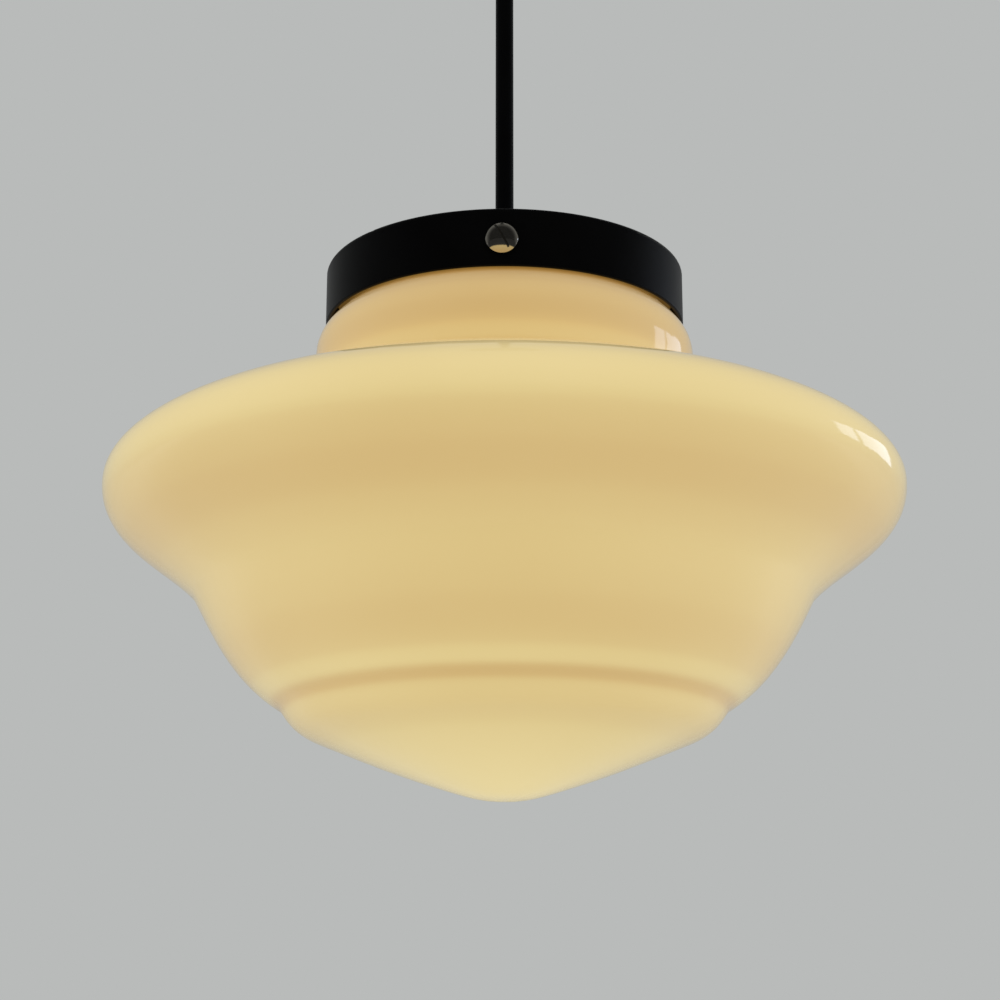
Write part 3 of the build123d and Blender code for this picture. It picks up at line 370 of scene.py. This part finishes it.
# %% [markdown]
# The gloss is that of fire-polished glass: a low roughness and an IOR of 1.5. It is made as a clear
# coat over the milky body, because a coat takes away from the glow below it what it mirrors, so the
# glow gives way to reflection where the surface turns edge-on. The body itself has no gloss of its
# own. A shallow relief of long waves, a tenth of a millimetre high, bends the window's image a
# little, as blown glass does.

# %% Opal glass


def opal_glass():
    """Blown cream opal glass with the bulb lit, with painted shade and a painted highlight in its glow."""
    material, tree, shader, place = new_finish(
        "opal glass: blown in a mould, fire-polished",
        Roughness=0.5,
        Specular_IOR_Level=0.0,
        Coat_Weight=1.0,
        Coat_Roughness=0.07,
        Coat_IOR=1.5,
        Emission_Strength=1.0,
    )
    height = add_node(tree, "ShaderNodeSeparateXYZ", links={"Vector": place}).outputs["Z"]
    top, bottom = GLOW_AND_PAINTED_SHADE_LEVELS[0][0], GLOW_AND_PAINTED_SHADE_LEVELS[-1][0]
    share = add_node(
        tree,
        "ShaderNodeMapRange",
        {"From Min": from_rim(bottom), "From Max": from_rim(top)},
        {"Value": height},
    ).outputs["Result"]
    glow = add_node(tree, "ShaderNodeFloatCurve", links={"Value": share})
    curve = glow.mapping.curves[0]
    spots = sorted(((level - bottom) / (top - bottom), amount) for level, amount in GLOW_AND_PAINTED_SHADE_LEVELS)
    curve.points[0].location = spots[0]
    curve.points[1].location = spots[-1]
    for spot in spots[1:-1]:
        curve.points.new(*spot)
    glow.mapping.update()
    clouds = add_node(
        tree, "ShaderNodeTexNoise", {"Scale": 1 / (90 * MM), "Detail": 1.0}, {"Vector": place}
    ).outputs["Fac"]
    uneven = add_node(
        tree, "ShaderNodeMapRange", {"To Min": 0.96, "To Max": 1.04}, {"Value": clouds}
    ).outputs["Result"]
    strength = add_node(
        tree, "ShaderNodeMath", links={0: glow.outputs["Value"], 1: uneven}, operation="MULTIPLY"
    ).outputs[0]
    light = add_node(tree, "ShaderNodeValToRGB", links={"Fac": strength})
    warm = light.color_ramp.elements
    warm[0].color = linear(GLOW_TINTS[0][1])
    warm[1].color = linear(GLOW_TINTS[-1][1])
    for position, tint_hex in GLOW_TINTS[1:-1]:
        warm.new(position).color = linear(tint_hex)
    tree.links.new(light.outputs["Color"], shader.inputs["Emission Color"])
    skin = add_node(
        tree,
        "ShaderNodeMix",
        {6: linear("#949182"), 7: linear("#9a9788")},
        {0: clouds},
        data_type="RGBA",
    ).outputs[2]
    tree.links.new(skin, shader.inputs["Base Color"])
    waves = add_node(
        tree, "ShaderNodeTexNoise", {"Scale": 1 / (55 * MM), "Detail": 1.0}, {"Vector": place}
    ).outputs["Fac"]
    relief = add_node(
        tree, "ShaderNodeBump", {"Strength": 0.6, "Distance": 0.1 * MM}, {"Height": waves}
    )
    tree.links.new(relief.outputs["Normal"], shader.inputs["Normal"])
    tree.links.new(relief.outputs["Normal"], shader.inputs["Coat Normal"])
    return material


glass = opal_glass()
print("glass nodes:", len(glass.node_tree.nodes))

# %% [markdown]
# Cup, tube, canopy and adaptor are steel with a satin black enamel, sprayed and baked. The eye gets
# a deep black that only greys towards the edges, where it grazes the surface. Sprayed enamel is
# never quite flat: a faint orange peel, about a millimetre from bump to bump, breaks the edge of
# each reflection. Settled dust greys it by a trace. On the drawn tube the peel is pulled out along
# its length.

# %% Satin black enamel


def black_enamel(name, peel_mm=1.2, along_tube=1.0):
    """Baked black enamel on steel: near black and satin, with a fine orange peel."""
    material, tree, shader, place = new_finish(name, IOR=1.5, Specular_IOR_Level=0.07)
    dust = add_node(
        tree, "ShaderNodeTexNoise", {"Scale": 1 / (30 * MM), "Detail": 3.0}, {"Vector": place}
    ).outputs["Fac"]
    colour = add_node(
        tree,
        "ShaderNodeMix",
        {6: linear("#050505"), 7: linear("#0c0c0d")},
        {0: dust},
        data_type="RGBA",
    ).outputs[2]
    tree.links.new(colour, shader.inputs["Base Color"])
    satin = add_node(
        tree, "ShaderNodeMapRange", {"To Min": 0.32, "To Max": 0.46}, {"Value": dust}
    ).outputs["Result"]
    tree.links.new(satin, shader.inputs["Roughness"])
    drawn = add_node(
        tree, "ShaderNodeMapping", {"Scale": (1.0, 1.0, along_tube)}, {"Vector": place}
    ).outputs["Vector"]
    peel = add_node(
        tree, "ShaderNodeTexNoise", {"Scale": 1 / (peel_mm * MM), "Detail": 1.0}, {"Vector": drawn}
    ).outputs["Fac"]
    relief = add_node(
        tree, "ShaderNodeBump", {"Strength": 0.5, "Distance": 0.02 * MM}, {"Height": peel}
    )
    tree.links.new(relief.outputs["Normal"], shader.inputs["Normal"])
    return material


enamel_spun = black_enamel("black enamel: sprayed on spun steel")
enamel_tube = black_enamel("black enamel: baked on drawn tube", 0.8, 0.04)
enamel_turned = black_enamel("black enamel: sprayed on turned steel", 0.9)
print("enamels:", enamel_spun.name, "|", enamel_tube.name, "|", enamel_turned.name)

# %% [markdown]
# The thumb screws are turned brass, nickel plated and polished. A lathe leaves rings round the
# screw's own axis, so the pattern is drawn from the distance to that axis: each head gets a material
# of its own, set up from the head's middle and the way it faces, which one helper finds. Real
# turning marks are some 0.05 mm apart, too fine to show here, so they are drawn every quarter of a
# millimetre.

# %% Nickel plated screw heads


def screw_axis(node_name):
    """Middle of a screw's piece, and the level direction that points from the lamp to it."""
    low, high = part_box(node_name)
    middle = (low + high) / 2
    outward = middle.copy()
    outward.z = 0.0
    outward.normalize()
    return middle, outward


def nickel_head(node_name):
    """Polished nickel with faint turned rings about the head's own axis."""
    middle, outward = screw_axis(node_name)
    material, tree, shader, place = new_finish(
        "nickel plate: turned and polished, " + node_name, Metallic=1.0
    )
    offset = add_node(
        tree, "ShaderNodeVectorMath", {1: tuple(middle)}, {0: place}, operation="SUBTRACT"
    ).outputs["Vector"]
    across = add_node(
        tree, "ShaderNodeVectorMath", {1: tuple(outward)}, {0: offset}, operation="CROSS_PRODUCT"
    ).outputs["Vector"]
    radius = add_node(
        tree, "ShaderNodeVectorMath", links={0: across}, operation="LENGTH"
    ).outputs["Value"]
    line = add_node(tree, "ShaderNodeCombineXYZ", links={"X": radius}).outputs["Vector"]
    rings = add_node(
        tree, "ShaderNodeTexNoise", {"Scale": 1 / (0.25 * MM), "Detail": 2.0}, {"Vector": line}
    ).outputs["Fac"]
    haze = add_node(
        tree, "ShaderNodeTexNoise", {"Scale": 1 / (4 * MM), "Detail": 2.0}, {"Vector": place}
    ).outputs["Fac"]
    colour = add_node(
        tree,
        "ShaderNodeMix",
        {6: linear("#bdb6aa"), 7: linear("#cbc4b8")},
        {0: haze},
        data_type="RGBA",
    ).outputs[2]
    tree.links.new(colour, shader.inputs["Base Color"])
    polish = add_node(
        tree, "ShaderNodeMapRange", {"To Min": 0.06, "To Max": 0.14}, {"Value": rings}
    ).outputs["Result"]
    tree.links.new(polish, shader.inputs["Roughness"])
    relief = add_node(
        tree, "ShaderNodeBump", {"Strength": 0.4, "Distance": 0.003 * MM}, {"Height": rings}
    )
    tree.links.new(relief.outputs["Normal"], shader.inputs["Normal"])
    return material


head_names = ["screw_head_1", "screw_head_2", "screw_head_3", "canopy_screw_head"]
nickel = {name: nickel_head(name) for name in head_names}
print("heads:", ", ".join(nickel))

# %% [markdown]
# The studs of those screws are rolled threads. Modelling a helix would bring thousands of faces that
# hardly show, so the thread is drawn as relief: a wave along the stud's own axis that steps on by
# one pitch with each turn round it, 0.7 mm for the thumb screws and 0.5 mm for the canopy's.

# %% Rolled threads


def rolled_thread(node_name, pitch_mm):
    """Zinc plated rolled thread, drawn as a helical relief about the stud's own axis, with painted shade in
    its roots.
    """
    middle, outward = screw_axis(node_name)
    sideways = outward.cross((0.0, 0.0, 1.0))
    material, tree, shader, place = new_finish("zinc plate: rolled thread, " + node_name, Metallic=1.0)
    offset = add_node(
        tree, "ShaderNodeVectorMath", {1: tuple(middle)}, {0: place}, operation="SUBTRACT"
    ).outputs["Vector"]
    out = add_node(
        tree, "ShaderNodeVectorMath", {1: tuple(outward)}, {0: offset}, operation="DOT_PRODUCT"
    ).outputs["Value"]
    beside = add_node(
        tree, "ShaderNodeVectorMath", {1: tuple(sideways)}, {0: offset}, operation="DOT_PRODUCT"
    ).outputs["Value"]
    above = add_node(tree, "ShaderNodeSeparateXYZ", links={"Vector": offset}).outputs["Z"]
    angle = add_node(
        tree, "ShaderNodeMath", links={0: above, 1: beside}, operation="ARCTAN2"
    ).outputs[0]
    turned = add_node(
        tree,
        "ShaderNodeMath",
        {1: 2 * math.pi / (pitch_mm * MM)},
        {0: out, 2: angle},
        operation="MULTIPLY_ADD",
    ).outputs[0]
    wave = add_node(tree, "ShaderNodeMath", links={0: turned}, operation="SINE").outputs[0]
    flanks = add_node(
        tree, "ShaderNodeMapRange", {"From Min": -1.0, "From Max": 1.0}, {"Value": wave}
    ).outputs["Result"]
    # painted shade: the colour is darker in the thread's roots and paler on its crests
    colour = add_node(
        tree,
        "ShaderNodeMix",
        {6: linear("#7d7f80"), 7: linear("#c3c4c2")},
        {0: flanks},
        data_type="RGBA",
    ).outputs[2]
    tree.links.new(colour, shader.inputs["Base Color"])
    rubbed = add_node(
        tree, "ShaderNodeMapRange", {"To Min": 0.42, "To Max": 0.26}, {"Value": flanks}
    ).outputs["Result"]
    tree.links.new(rubbed, shader.inputs["Roughness"])
    relief = add_node(
        tree, "ShaderNodeBump", {"Strength": 0.7, "Distance": 0.2 * MM}, {"Height": flanks}
    )
    tree.links.new(relief.outputs["Normal"], shader.inputs["Normal"])
    return material


THUMB_PITCH_MM = 0.7
stud_pitches = {f"screw_stud_{number}": THUMB_PITCH_MM for number in (1, 2, 3)}
stud_pitches["canopy_screw_stud"] = 0.5
threads = {name: rolled_thread(name, pitch) for name, pitch in stud_pitches.items()}
print("threads:", ", ".join(threads))

# %% [markdown]
# Everything that the canopy hides is plain hardware: zinc plated steel with the faint blue and
# yellow mottling of its passivation, and pressed or turned brass in the lampholder and the
# terminals. They are metals, so their colour sits in the base colour and the default IOR stays. One
# recipe serves them all: a slow mottle in the colour and a fine grain in gloss and relief.

# %% Plated and plain metals


def plated(name, colours, mottle_mm, roughness, grain_mm):
    """A plain or plated metal: mottled colour, and a fine grain in gloss and relief."""
    material, tree, shader, place = new_finish(name, Metallic=1.0)
    mottle = add_node(
        tree, "ShaderNodeTexNoise", {"Scale": 1 / (mottle_mm * MM), "Detail": 3.0}, {"Vector": place}
    ).outputs["Fac"]
    lower = add_node(
        tree, "ShaderNodeMapRange", {"From Min": 0.3, "From Max": 0.52}, {"Value": mottle}
    ).outputs["Result"]
    upper = add_node(
        tree, "ShaderNodeMapRange", {"From Min": 0.52, "From Max": 0.74}, {"Value": mottle}
    ).outputs["Result"]
    cool_to_plain = add_node(
        tree,
        "ShaderNodeMix",
        {6: linear(colours[0]), 7: linear(colours[1])},
        {0: lower},
        data_type="RGBA",
    ).outputs[2]
    colour = add_node(
        tree,
        "ShaderNodeMix",
        {7: linear(colours[2])},
        {0: upper, 6: cool_to_plain},
        data_type="RGBA",
    ).outputs[2]
    tree.links.new(colour, shader.inputs["Base Color"])
    grain = add_node(
        tree, "ShaderNodeTexNoise", {"Scale": 1 / (grain_mm * MM), "Detail": 2.0}, {"Vector": place}
    ).outputs["Fac"]
    gloss = add_node(
        tree,
        "ShaderNodeMapRange",
        {"To Min": roughness[0], "To Max": roughness[1]},
        {"Value": grain},
    ).outputs["Result"]
    tree.links.new(gloss, shader.inputs["Roughness"])
    relief = add_node(
        tree, "ShaderNodeBump", {"Strength": 0.4, "Distance": 0.01 * MM}, {"Height": grain}
    )
    tree.links.new(relief.outputs["Normal"], shader.inputs["Normal"])
    return material


zinc = plated("zinc plated steel: passivated", ("#a9adb0", "#b8b9b4", "#b9b59f"), 9.0, (0.26, 0.40), 0.5)
brass = plated("brass: pressed and turned", ("#b8914a", "#c9a55c", "#d2b26c"), 5.0, (0.22, 0.34), 0.4)
bright_cap = plated("aluminium: drawn and rolled", ("#c2c2c0", "#cfcfcc", "#d6d5d1"), 6.0, (0.20, 0.32), 0.5)
solder = plated("solder: dipped and dulled", ("#9b9a96", "#aaa9a4", "#b6b4ad"), 3.0, (0.34, 0.48), 0.8)
nickel_wire = plated("nickel wire: drawn", ("#a8a49c", "#b4b0a8", "#bdb9b0"), 3.0, (0.25, 0.38), 0.3)
print("metals:", zinc.name, "|", brass.name)

# %% [markdown]
# The roller and the lampholder's insert are porcelain: white clay under a clear glaze. The glaze is
# a sharp gloss over a soft, slightly warm body, so the shader gets a coat. The body has a few iron
# specks, under a millimetre wide, where the noise dips lowest.

# %% Glazed porcelain


def glazed_porcelain():
    """White glazed porcelain with sparse iron specks under the glaze."""
    material, tree, shader, place = new_finish(
        "porcelain: glazed and fired", IOR=1.5, Coat_Weight=0.6, Coat_Roughness=0.04
    )
    iron = add_node(
        tree, "ShaderNodeTexNoise", {"Scale": 1 / (0.9 * MM), "Detail": 0.0}, {"Vector": place}
    ).outputs["Fac"]
    speck = add_node(
        tree, "ShaderNodeMapRange", {"From Min": 0.15, "From Max": 0.22}, {"Value": iron}
    ).outputs["Result"]
    colour = add_node(
        tree,
        "ShaderNodeMix",
        {6: linear("#8f7f6c"), 7: linear("#e6e2d9")},
        {0: speck},
        data_type="RGBA",
    ).outputs[2]
    tree.links.new(colour, shader.inputs["Base Color"])
    pooling = add_node(
        tree, "ShaderNodeTexNoise", {"Scale": 1 / (7 * MM), "Detail": 1.0}, {"Vector": place}
    ).outputs["Fac"]
    gloss = add_node(
        tree, "ShaderNodeMapRange", {"To Min": 0.12, "To Max": 0.24}, {"Value": pooling}
    ).outputs["Result"]
    tree.links.new(gloss, shader.inputs["Roughness"])
    relief = add_node(
        tree, "ShaderNodeBump", {"Strength": 0.4, "Distance": 0.05 * MM}, {"Height": pooling}
    )
    tree.links.new(relief.outputs["Normal"], shader.inputs["Normal"])
    return material


porcelain = glazed_porcelain()
print("porcelain:", porcelain.name)

# %% [markdown]
# Plastics and pressed black glass share one recipe too. Moulding leaves flow marks, drawn out along
# the piece, and the mould's own fine texture shows in the gloss. The lampholder's shell is phenolic,
# a near black with brown in it, the terminal block is milky polyamide, and the wires have PVC
# sleeves in the usual colours.

# %% Moulded plastics
MOULD_TEXTURE_MM = 0.5


def moulded(name, colours, roughness, flow_mm=6.0):
    """A moulded plastic: faint flow marks in its colour and a fine mould texture."""
    material, tree, shader, place = new_finish(name, IOR=1.5)
    drawn_out = add_node(
        tree, "ShaderNodeMapping", {"Scale": (1.0, 1.0, 0.35)}, {"Vector": place}
    ).outputs["Vector"]
    marks = add_node(
        tree, "ShaderNodeTexNoise", {"Scale": 1 / (flow_mm * MM), "Detail": 3.0}, {"Vector": drawn_out}
    ).outputs["Fac"]
    colour = add_node(
        tree,
        "ShaderNodeMix",
        {6: linear(colours[0]), 7: linear(colours[1])},
        {0: marks},
        data_type="RGBA",
    ).outputs[2]
    tree.links.new(colour, shader.inputs["Base Color"])
    texture = add_node(
        tree, "ShaderNodeTexNoise", {"Scale": 1 / (MOULD_TEXTURE_MM * MM), "Detail": 1.0}, {"Vector": place}
    ).outputs["Fac"]
    gloss = add_node(
        tree,
        "ShaderNodeMapRange",
        {"To Min": roughness[0], "To Max": roughness[1]},
        {"Value": texture},
    ).outputs["Result"]
    tree.links.new(gloss, shader.inputs["Roughness"])
    relief = add_node(
        tree, "ShaderNodeBump", {"Strength": 0.4, "Distance": 0.01 * MM}, {"Height": texture}
    )
    tree.links.new(relief.outputs["Normal"], shader.inputs["Normal"])
    return material


phenolic = moulded("phenolic: compression moulded", ("#120f0e", "#1d1715"), (0.18, 0.30))
block_plastic = moulded("polyamide: injection moulded", ("#d3cfc2", "#e0ddd3"), (0.38, 0.50))
live_sleeve = moulded("PVC: extruded, brown", ("#482515", "#56311e"), (0.36, 0.46), 3.0)
neutral_sleeve = moulded("PVC: extruded, blue", ("#1b4a8a", "#25589a"), (0.36, 0.46), 3.0)
vitrite = moulded("vitrite: black glass, pressed", ("#0b0b10", "#15151c"), (0.06, 0.12), 4.0)
print("plastics:", phenolic.name, "|", block_plastic.name)

# %% [markdown]
# The earth wire has its own colours: green with yellow stripes along it. The stripes are drawn by a
# wave over the height and the width together, so they slant, and they have the sharp edges of an
# extruded stripe.

# %% Earth wire


def striped_sleeve():
    """Extruded PVC in green and yellow stripes about two millimetres wide."""
    material, tree, shader, place = new_finish("PVC: extruded, green and yellow", IOR=1.5)
    parts = add_node(tree, "ShaderNodeSeparateXYZ", links={"Vector": place})
    slant = add_node(
        tree,
        "ShaderNodeMath",
        links={0: parts.outputs["X"], 1: parts.outputs["Z"]},
        operation="ADD",
    ).outputs[0]
    turns = add_node(
        tree, "ShaderNodeMath", {1: 2 * math.pi / (4 * MM)}, {0: slant}, operation="MULTIPLY"
    ).outputs[0]
    wave = add_node(tree, "ShaderNodeMath", links={0: turns}, operation="SINE").outputs[0]
    edge = add_node(
        tree, "ShaderNodeMapRange", {"From Min": -0.05, "From Max": 0.05}, {"Value": wave}
    ).outputs["Result"]
    colour = add_node(
        tree,
        "ShaderNodeMix",
        {6: linear("#2f7a32"), 7: linear("#d8c12c")},
        {0: edge},
        data_type="RGBA",
    ).outputs[2]
    tree.links.new(colour, shader.inputs["Base Color"])
    skin = add_node(
        tree, "ShaderNodeTexNoise", {"Scale": 1 / (3 * MM)}, {"Vector": place}
    ).outputs["Fac"]
    gloss = add_node(
        tree, "ShaderNodeMapRange", {"To Min": 0.36, "To Max": 0.46}, {"Value": skin}
    ).outputs["Result"]
    tree.links.new(gloss, shader.inputs["Roughness"])
    return material


earth_sleeve = striped_sleeve()
print("earth wire:", earth_sleeve.name)

# %% [markdown]
# The bulb inside is a frosted pear with four straight filaments. The opal glass hides it, but it is
# lit and it can be unscrewed, so it gets its finishes too. Frosting is done inside the glass, so the
# outside keeps a soft gloss. The glow is strongest round the filaments, at its widest level, and
# dies away up the neck.

# %% Frosted bulb


def frosted_bulb():
    """Frosted glass, lit from inside: warm white, brightest at its widest level."""
    material, tree, shader, place = new_finish(
        "soda glass: blown, frosted inside", IOR=1.5, Emission_Strength=0.9
    )
    frost = add_node(
        tree, "ShaderNodeTexNoise", {"Scale": 1 / MM, "Detail": 3.0}, {"Vector": place}
    ).outputs["Fac"]
    colour = add_node(
        tree,
        "ShaderNodeMix",
        {6: linear("#e4e0d4"), 7: linear("#f0ede2")},
        {0: frost},
        data_type="RGBA",
    ).outputs[2]
    tree.links.new(colour, shader.inputs["Base Color"])
    gloss = add_node(
        tree, "ShaderNodeMapRange", {"To Min": 0.28, "To Max": 0.40}, {"Value": frost}
    ).outputs["Result"]
    tree.links.new(gloss, shader.inputs["Roughness"])
    low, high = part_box("bulb_globe")
    height = add_node(tree, "ShaderNodeSeparateXYZ", links={"Vector": place}).outputs["Z"]
    up_the_neck = add_node(
        tree,
        "ShaderNodeMapRange",
        {"From Min": low.z + 40 * MM, "From Max": high.z},
        {"Value": height},
        interpolation_type="SMOOTHSTEP",
    ).outputs["Result"]
    light = add_node(
        tree,
        "ShaderNodeMix",
        {6: linear("#ffecc2"), 7: linear("#4a3a22")},
        {0: up_the_neck},
        data_type="RGBA",
    ).outputs[2]
    tree.links.new(light, shader.inputs["Emission Color"])
    relief = add_node(
        tree, "ShaderNodeBump", {"Strength": 0.5, "Distance": 0.01 * MM}, {"Height": frost}
    )
    tree.links.new(relief.outputs["Normal"], shader.inputs["Normal"])
    material.cycles.emission_sampling = "NONE"
    return material


frosted = frosted_bulb()
print("bulb:", frosted.name)

# %% [markdown]
# Inside the bulb are the filaments, each a strip under a cast coat of yellow phosphor, and the glass
# stem that they stand on, pressed from clear lead glass with a few seeds in it.

# %% Filaments and their stem


def filament_phosphor():
    """Yellow phosphor with fine grains, switched on."""
    material, tree, shader, place = new_finish(
        "phosphor: cast over the filament", Roughness=0.6, Emission_Strength=1.5
    )
    grains = add_node(
        tree, "ShaderNodeTexNoise", {"Scale": 1 / (0.4 * MM), "Detail": 2.0}, {"Vector": place}
    ).outputs["Fac"]
    colour = add_node(
        tree,
        "ShaderNodeMix",
        {6: linear("#d9a93a"), 7: linear("#edc65a")},
        {0: grains},
        data_type="RGBA",
    ).outputs[2]
    tree.links.new(colour, shader.inputs["Base Color"])
    light = add_node(
        tree,
        "ShaderNodeMix",
        {6: linear("#ffca70"), 7: linear("#ffe0a0")},
        {0: grains},
        data_type="RGBA",
    ).outputs[2]
    tree.links.new(light, shader.inputs["Emission Color"])
    material.cycles.emission_sampling = "NONE"
    return material


def clear_stem():
    """Clear pressed glass, slightly grey, for the bulb's inner stem."""
    material, tree, shader, place = new_finish("lead glass: pressed", IOR=1.55)
    seeds = add_node(
        tree, "ShaderNodeTexNoise", {"Scale": 1 / (2 * MM), "Detail": 1.0}, {"Vector": place}
    ).outputs["Fac"]
    colour = add_node(
        tree,
        "ShaderNodeMix",
        {6: linear("#c1c7c4"), 7: linear("#d0d5d2")},
        {0: seeds},
        data_type="RGBA",
    ).outputs[2]
    tree.links.new(colour, shader.inputs["Base Color"])
    gloss = add_node(
        tree, "ShaderNodeMapRange", {"To Min": 0.05, "To Max": 0.12}, {"Value": seeds}
    ).outputs["Result"]
    tree.links.new(gloss, shader.inputs["Roughness"])
    return material


phosphor = filament_phosphor()
stem_glass = clear_stem()
print("inside the bulb:", phosphor.name, "|", stem_glass.name)

# %% [markdown]
# Now each solid gets its finish. A solid carries one material, so giving it a finish means setting
# the material of its only slot.

# %% Finishes on the solids
finishes = {
    glass: ["shade"],
    enamel_spun: ["fitter", "canopy"],
    enamel_tube: ["stem"],
    enamel_turned: ["canopy_collar", "stem_adaptor", "fitter_washer"],
    zinc: [
        "ceiling_plate",
        "ceiling_hook",
        "hook_nut",
        "stirrup",
        "roller_bolt",
        "roller_nut",
        "stem_nut_top",
        "stem_nut_lower",
        "block_fixing",
        "fitter_locknut",
    ],
    brass: ["block_screws", "holder_posts", "post_screws", "threaded_sleeve", "centre_contact"],
    porcelain: ["hanger_roller", "holder_insert"],
    phenolic: ["holder_cap", "holder_tube"],
    block_plastic: ["terminal_block"],
    live_sleeve: ["live_wire"],
    neutral_sleeve: ["neutral_wire"],
    earth_sleeve: ["earth_wire"],
    bright_cap: ["bulb_cap"],
    solder: ["bulb_contact"],
    vitrite: ["bulb_insulator"],
    frosted: ["bulb_globe"],
    stem_glass: ["glass_stem"],
    nickel_wire: ["filament_frame"],
    phosphor: ["filaments"],
}
for name in head_names:
    finishes[nickel[name]] = [name]
for name in stud_pitches:
    finishes[threads[name]] = [name]


def dress(node_name, material):
    """Puts one material on a solid, in place of what it came with."""
    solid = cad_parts[node_name]
    if not solid.material_slots:
        solid.data.materials.append(material)
    for slot in solid.material_slots:
        slot.material = material


dressed = set()
for material, node_names in finishes.items():
    for node_name in node_names:
        dress(node_name, material)
        dressed.add(node_name)
print("dressed", len(dressed), "solids; bare:", sorted(set(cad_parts) - dressed))
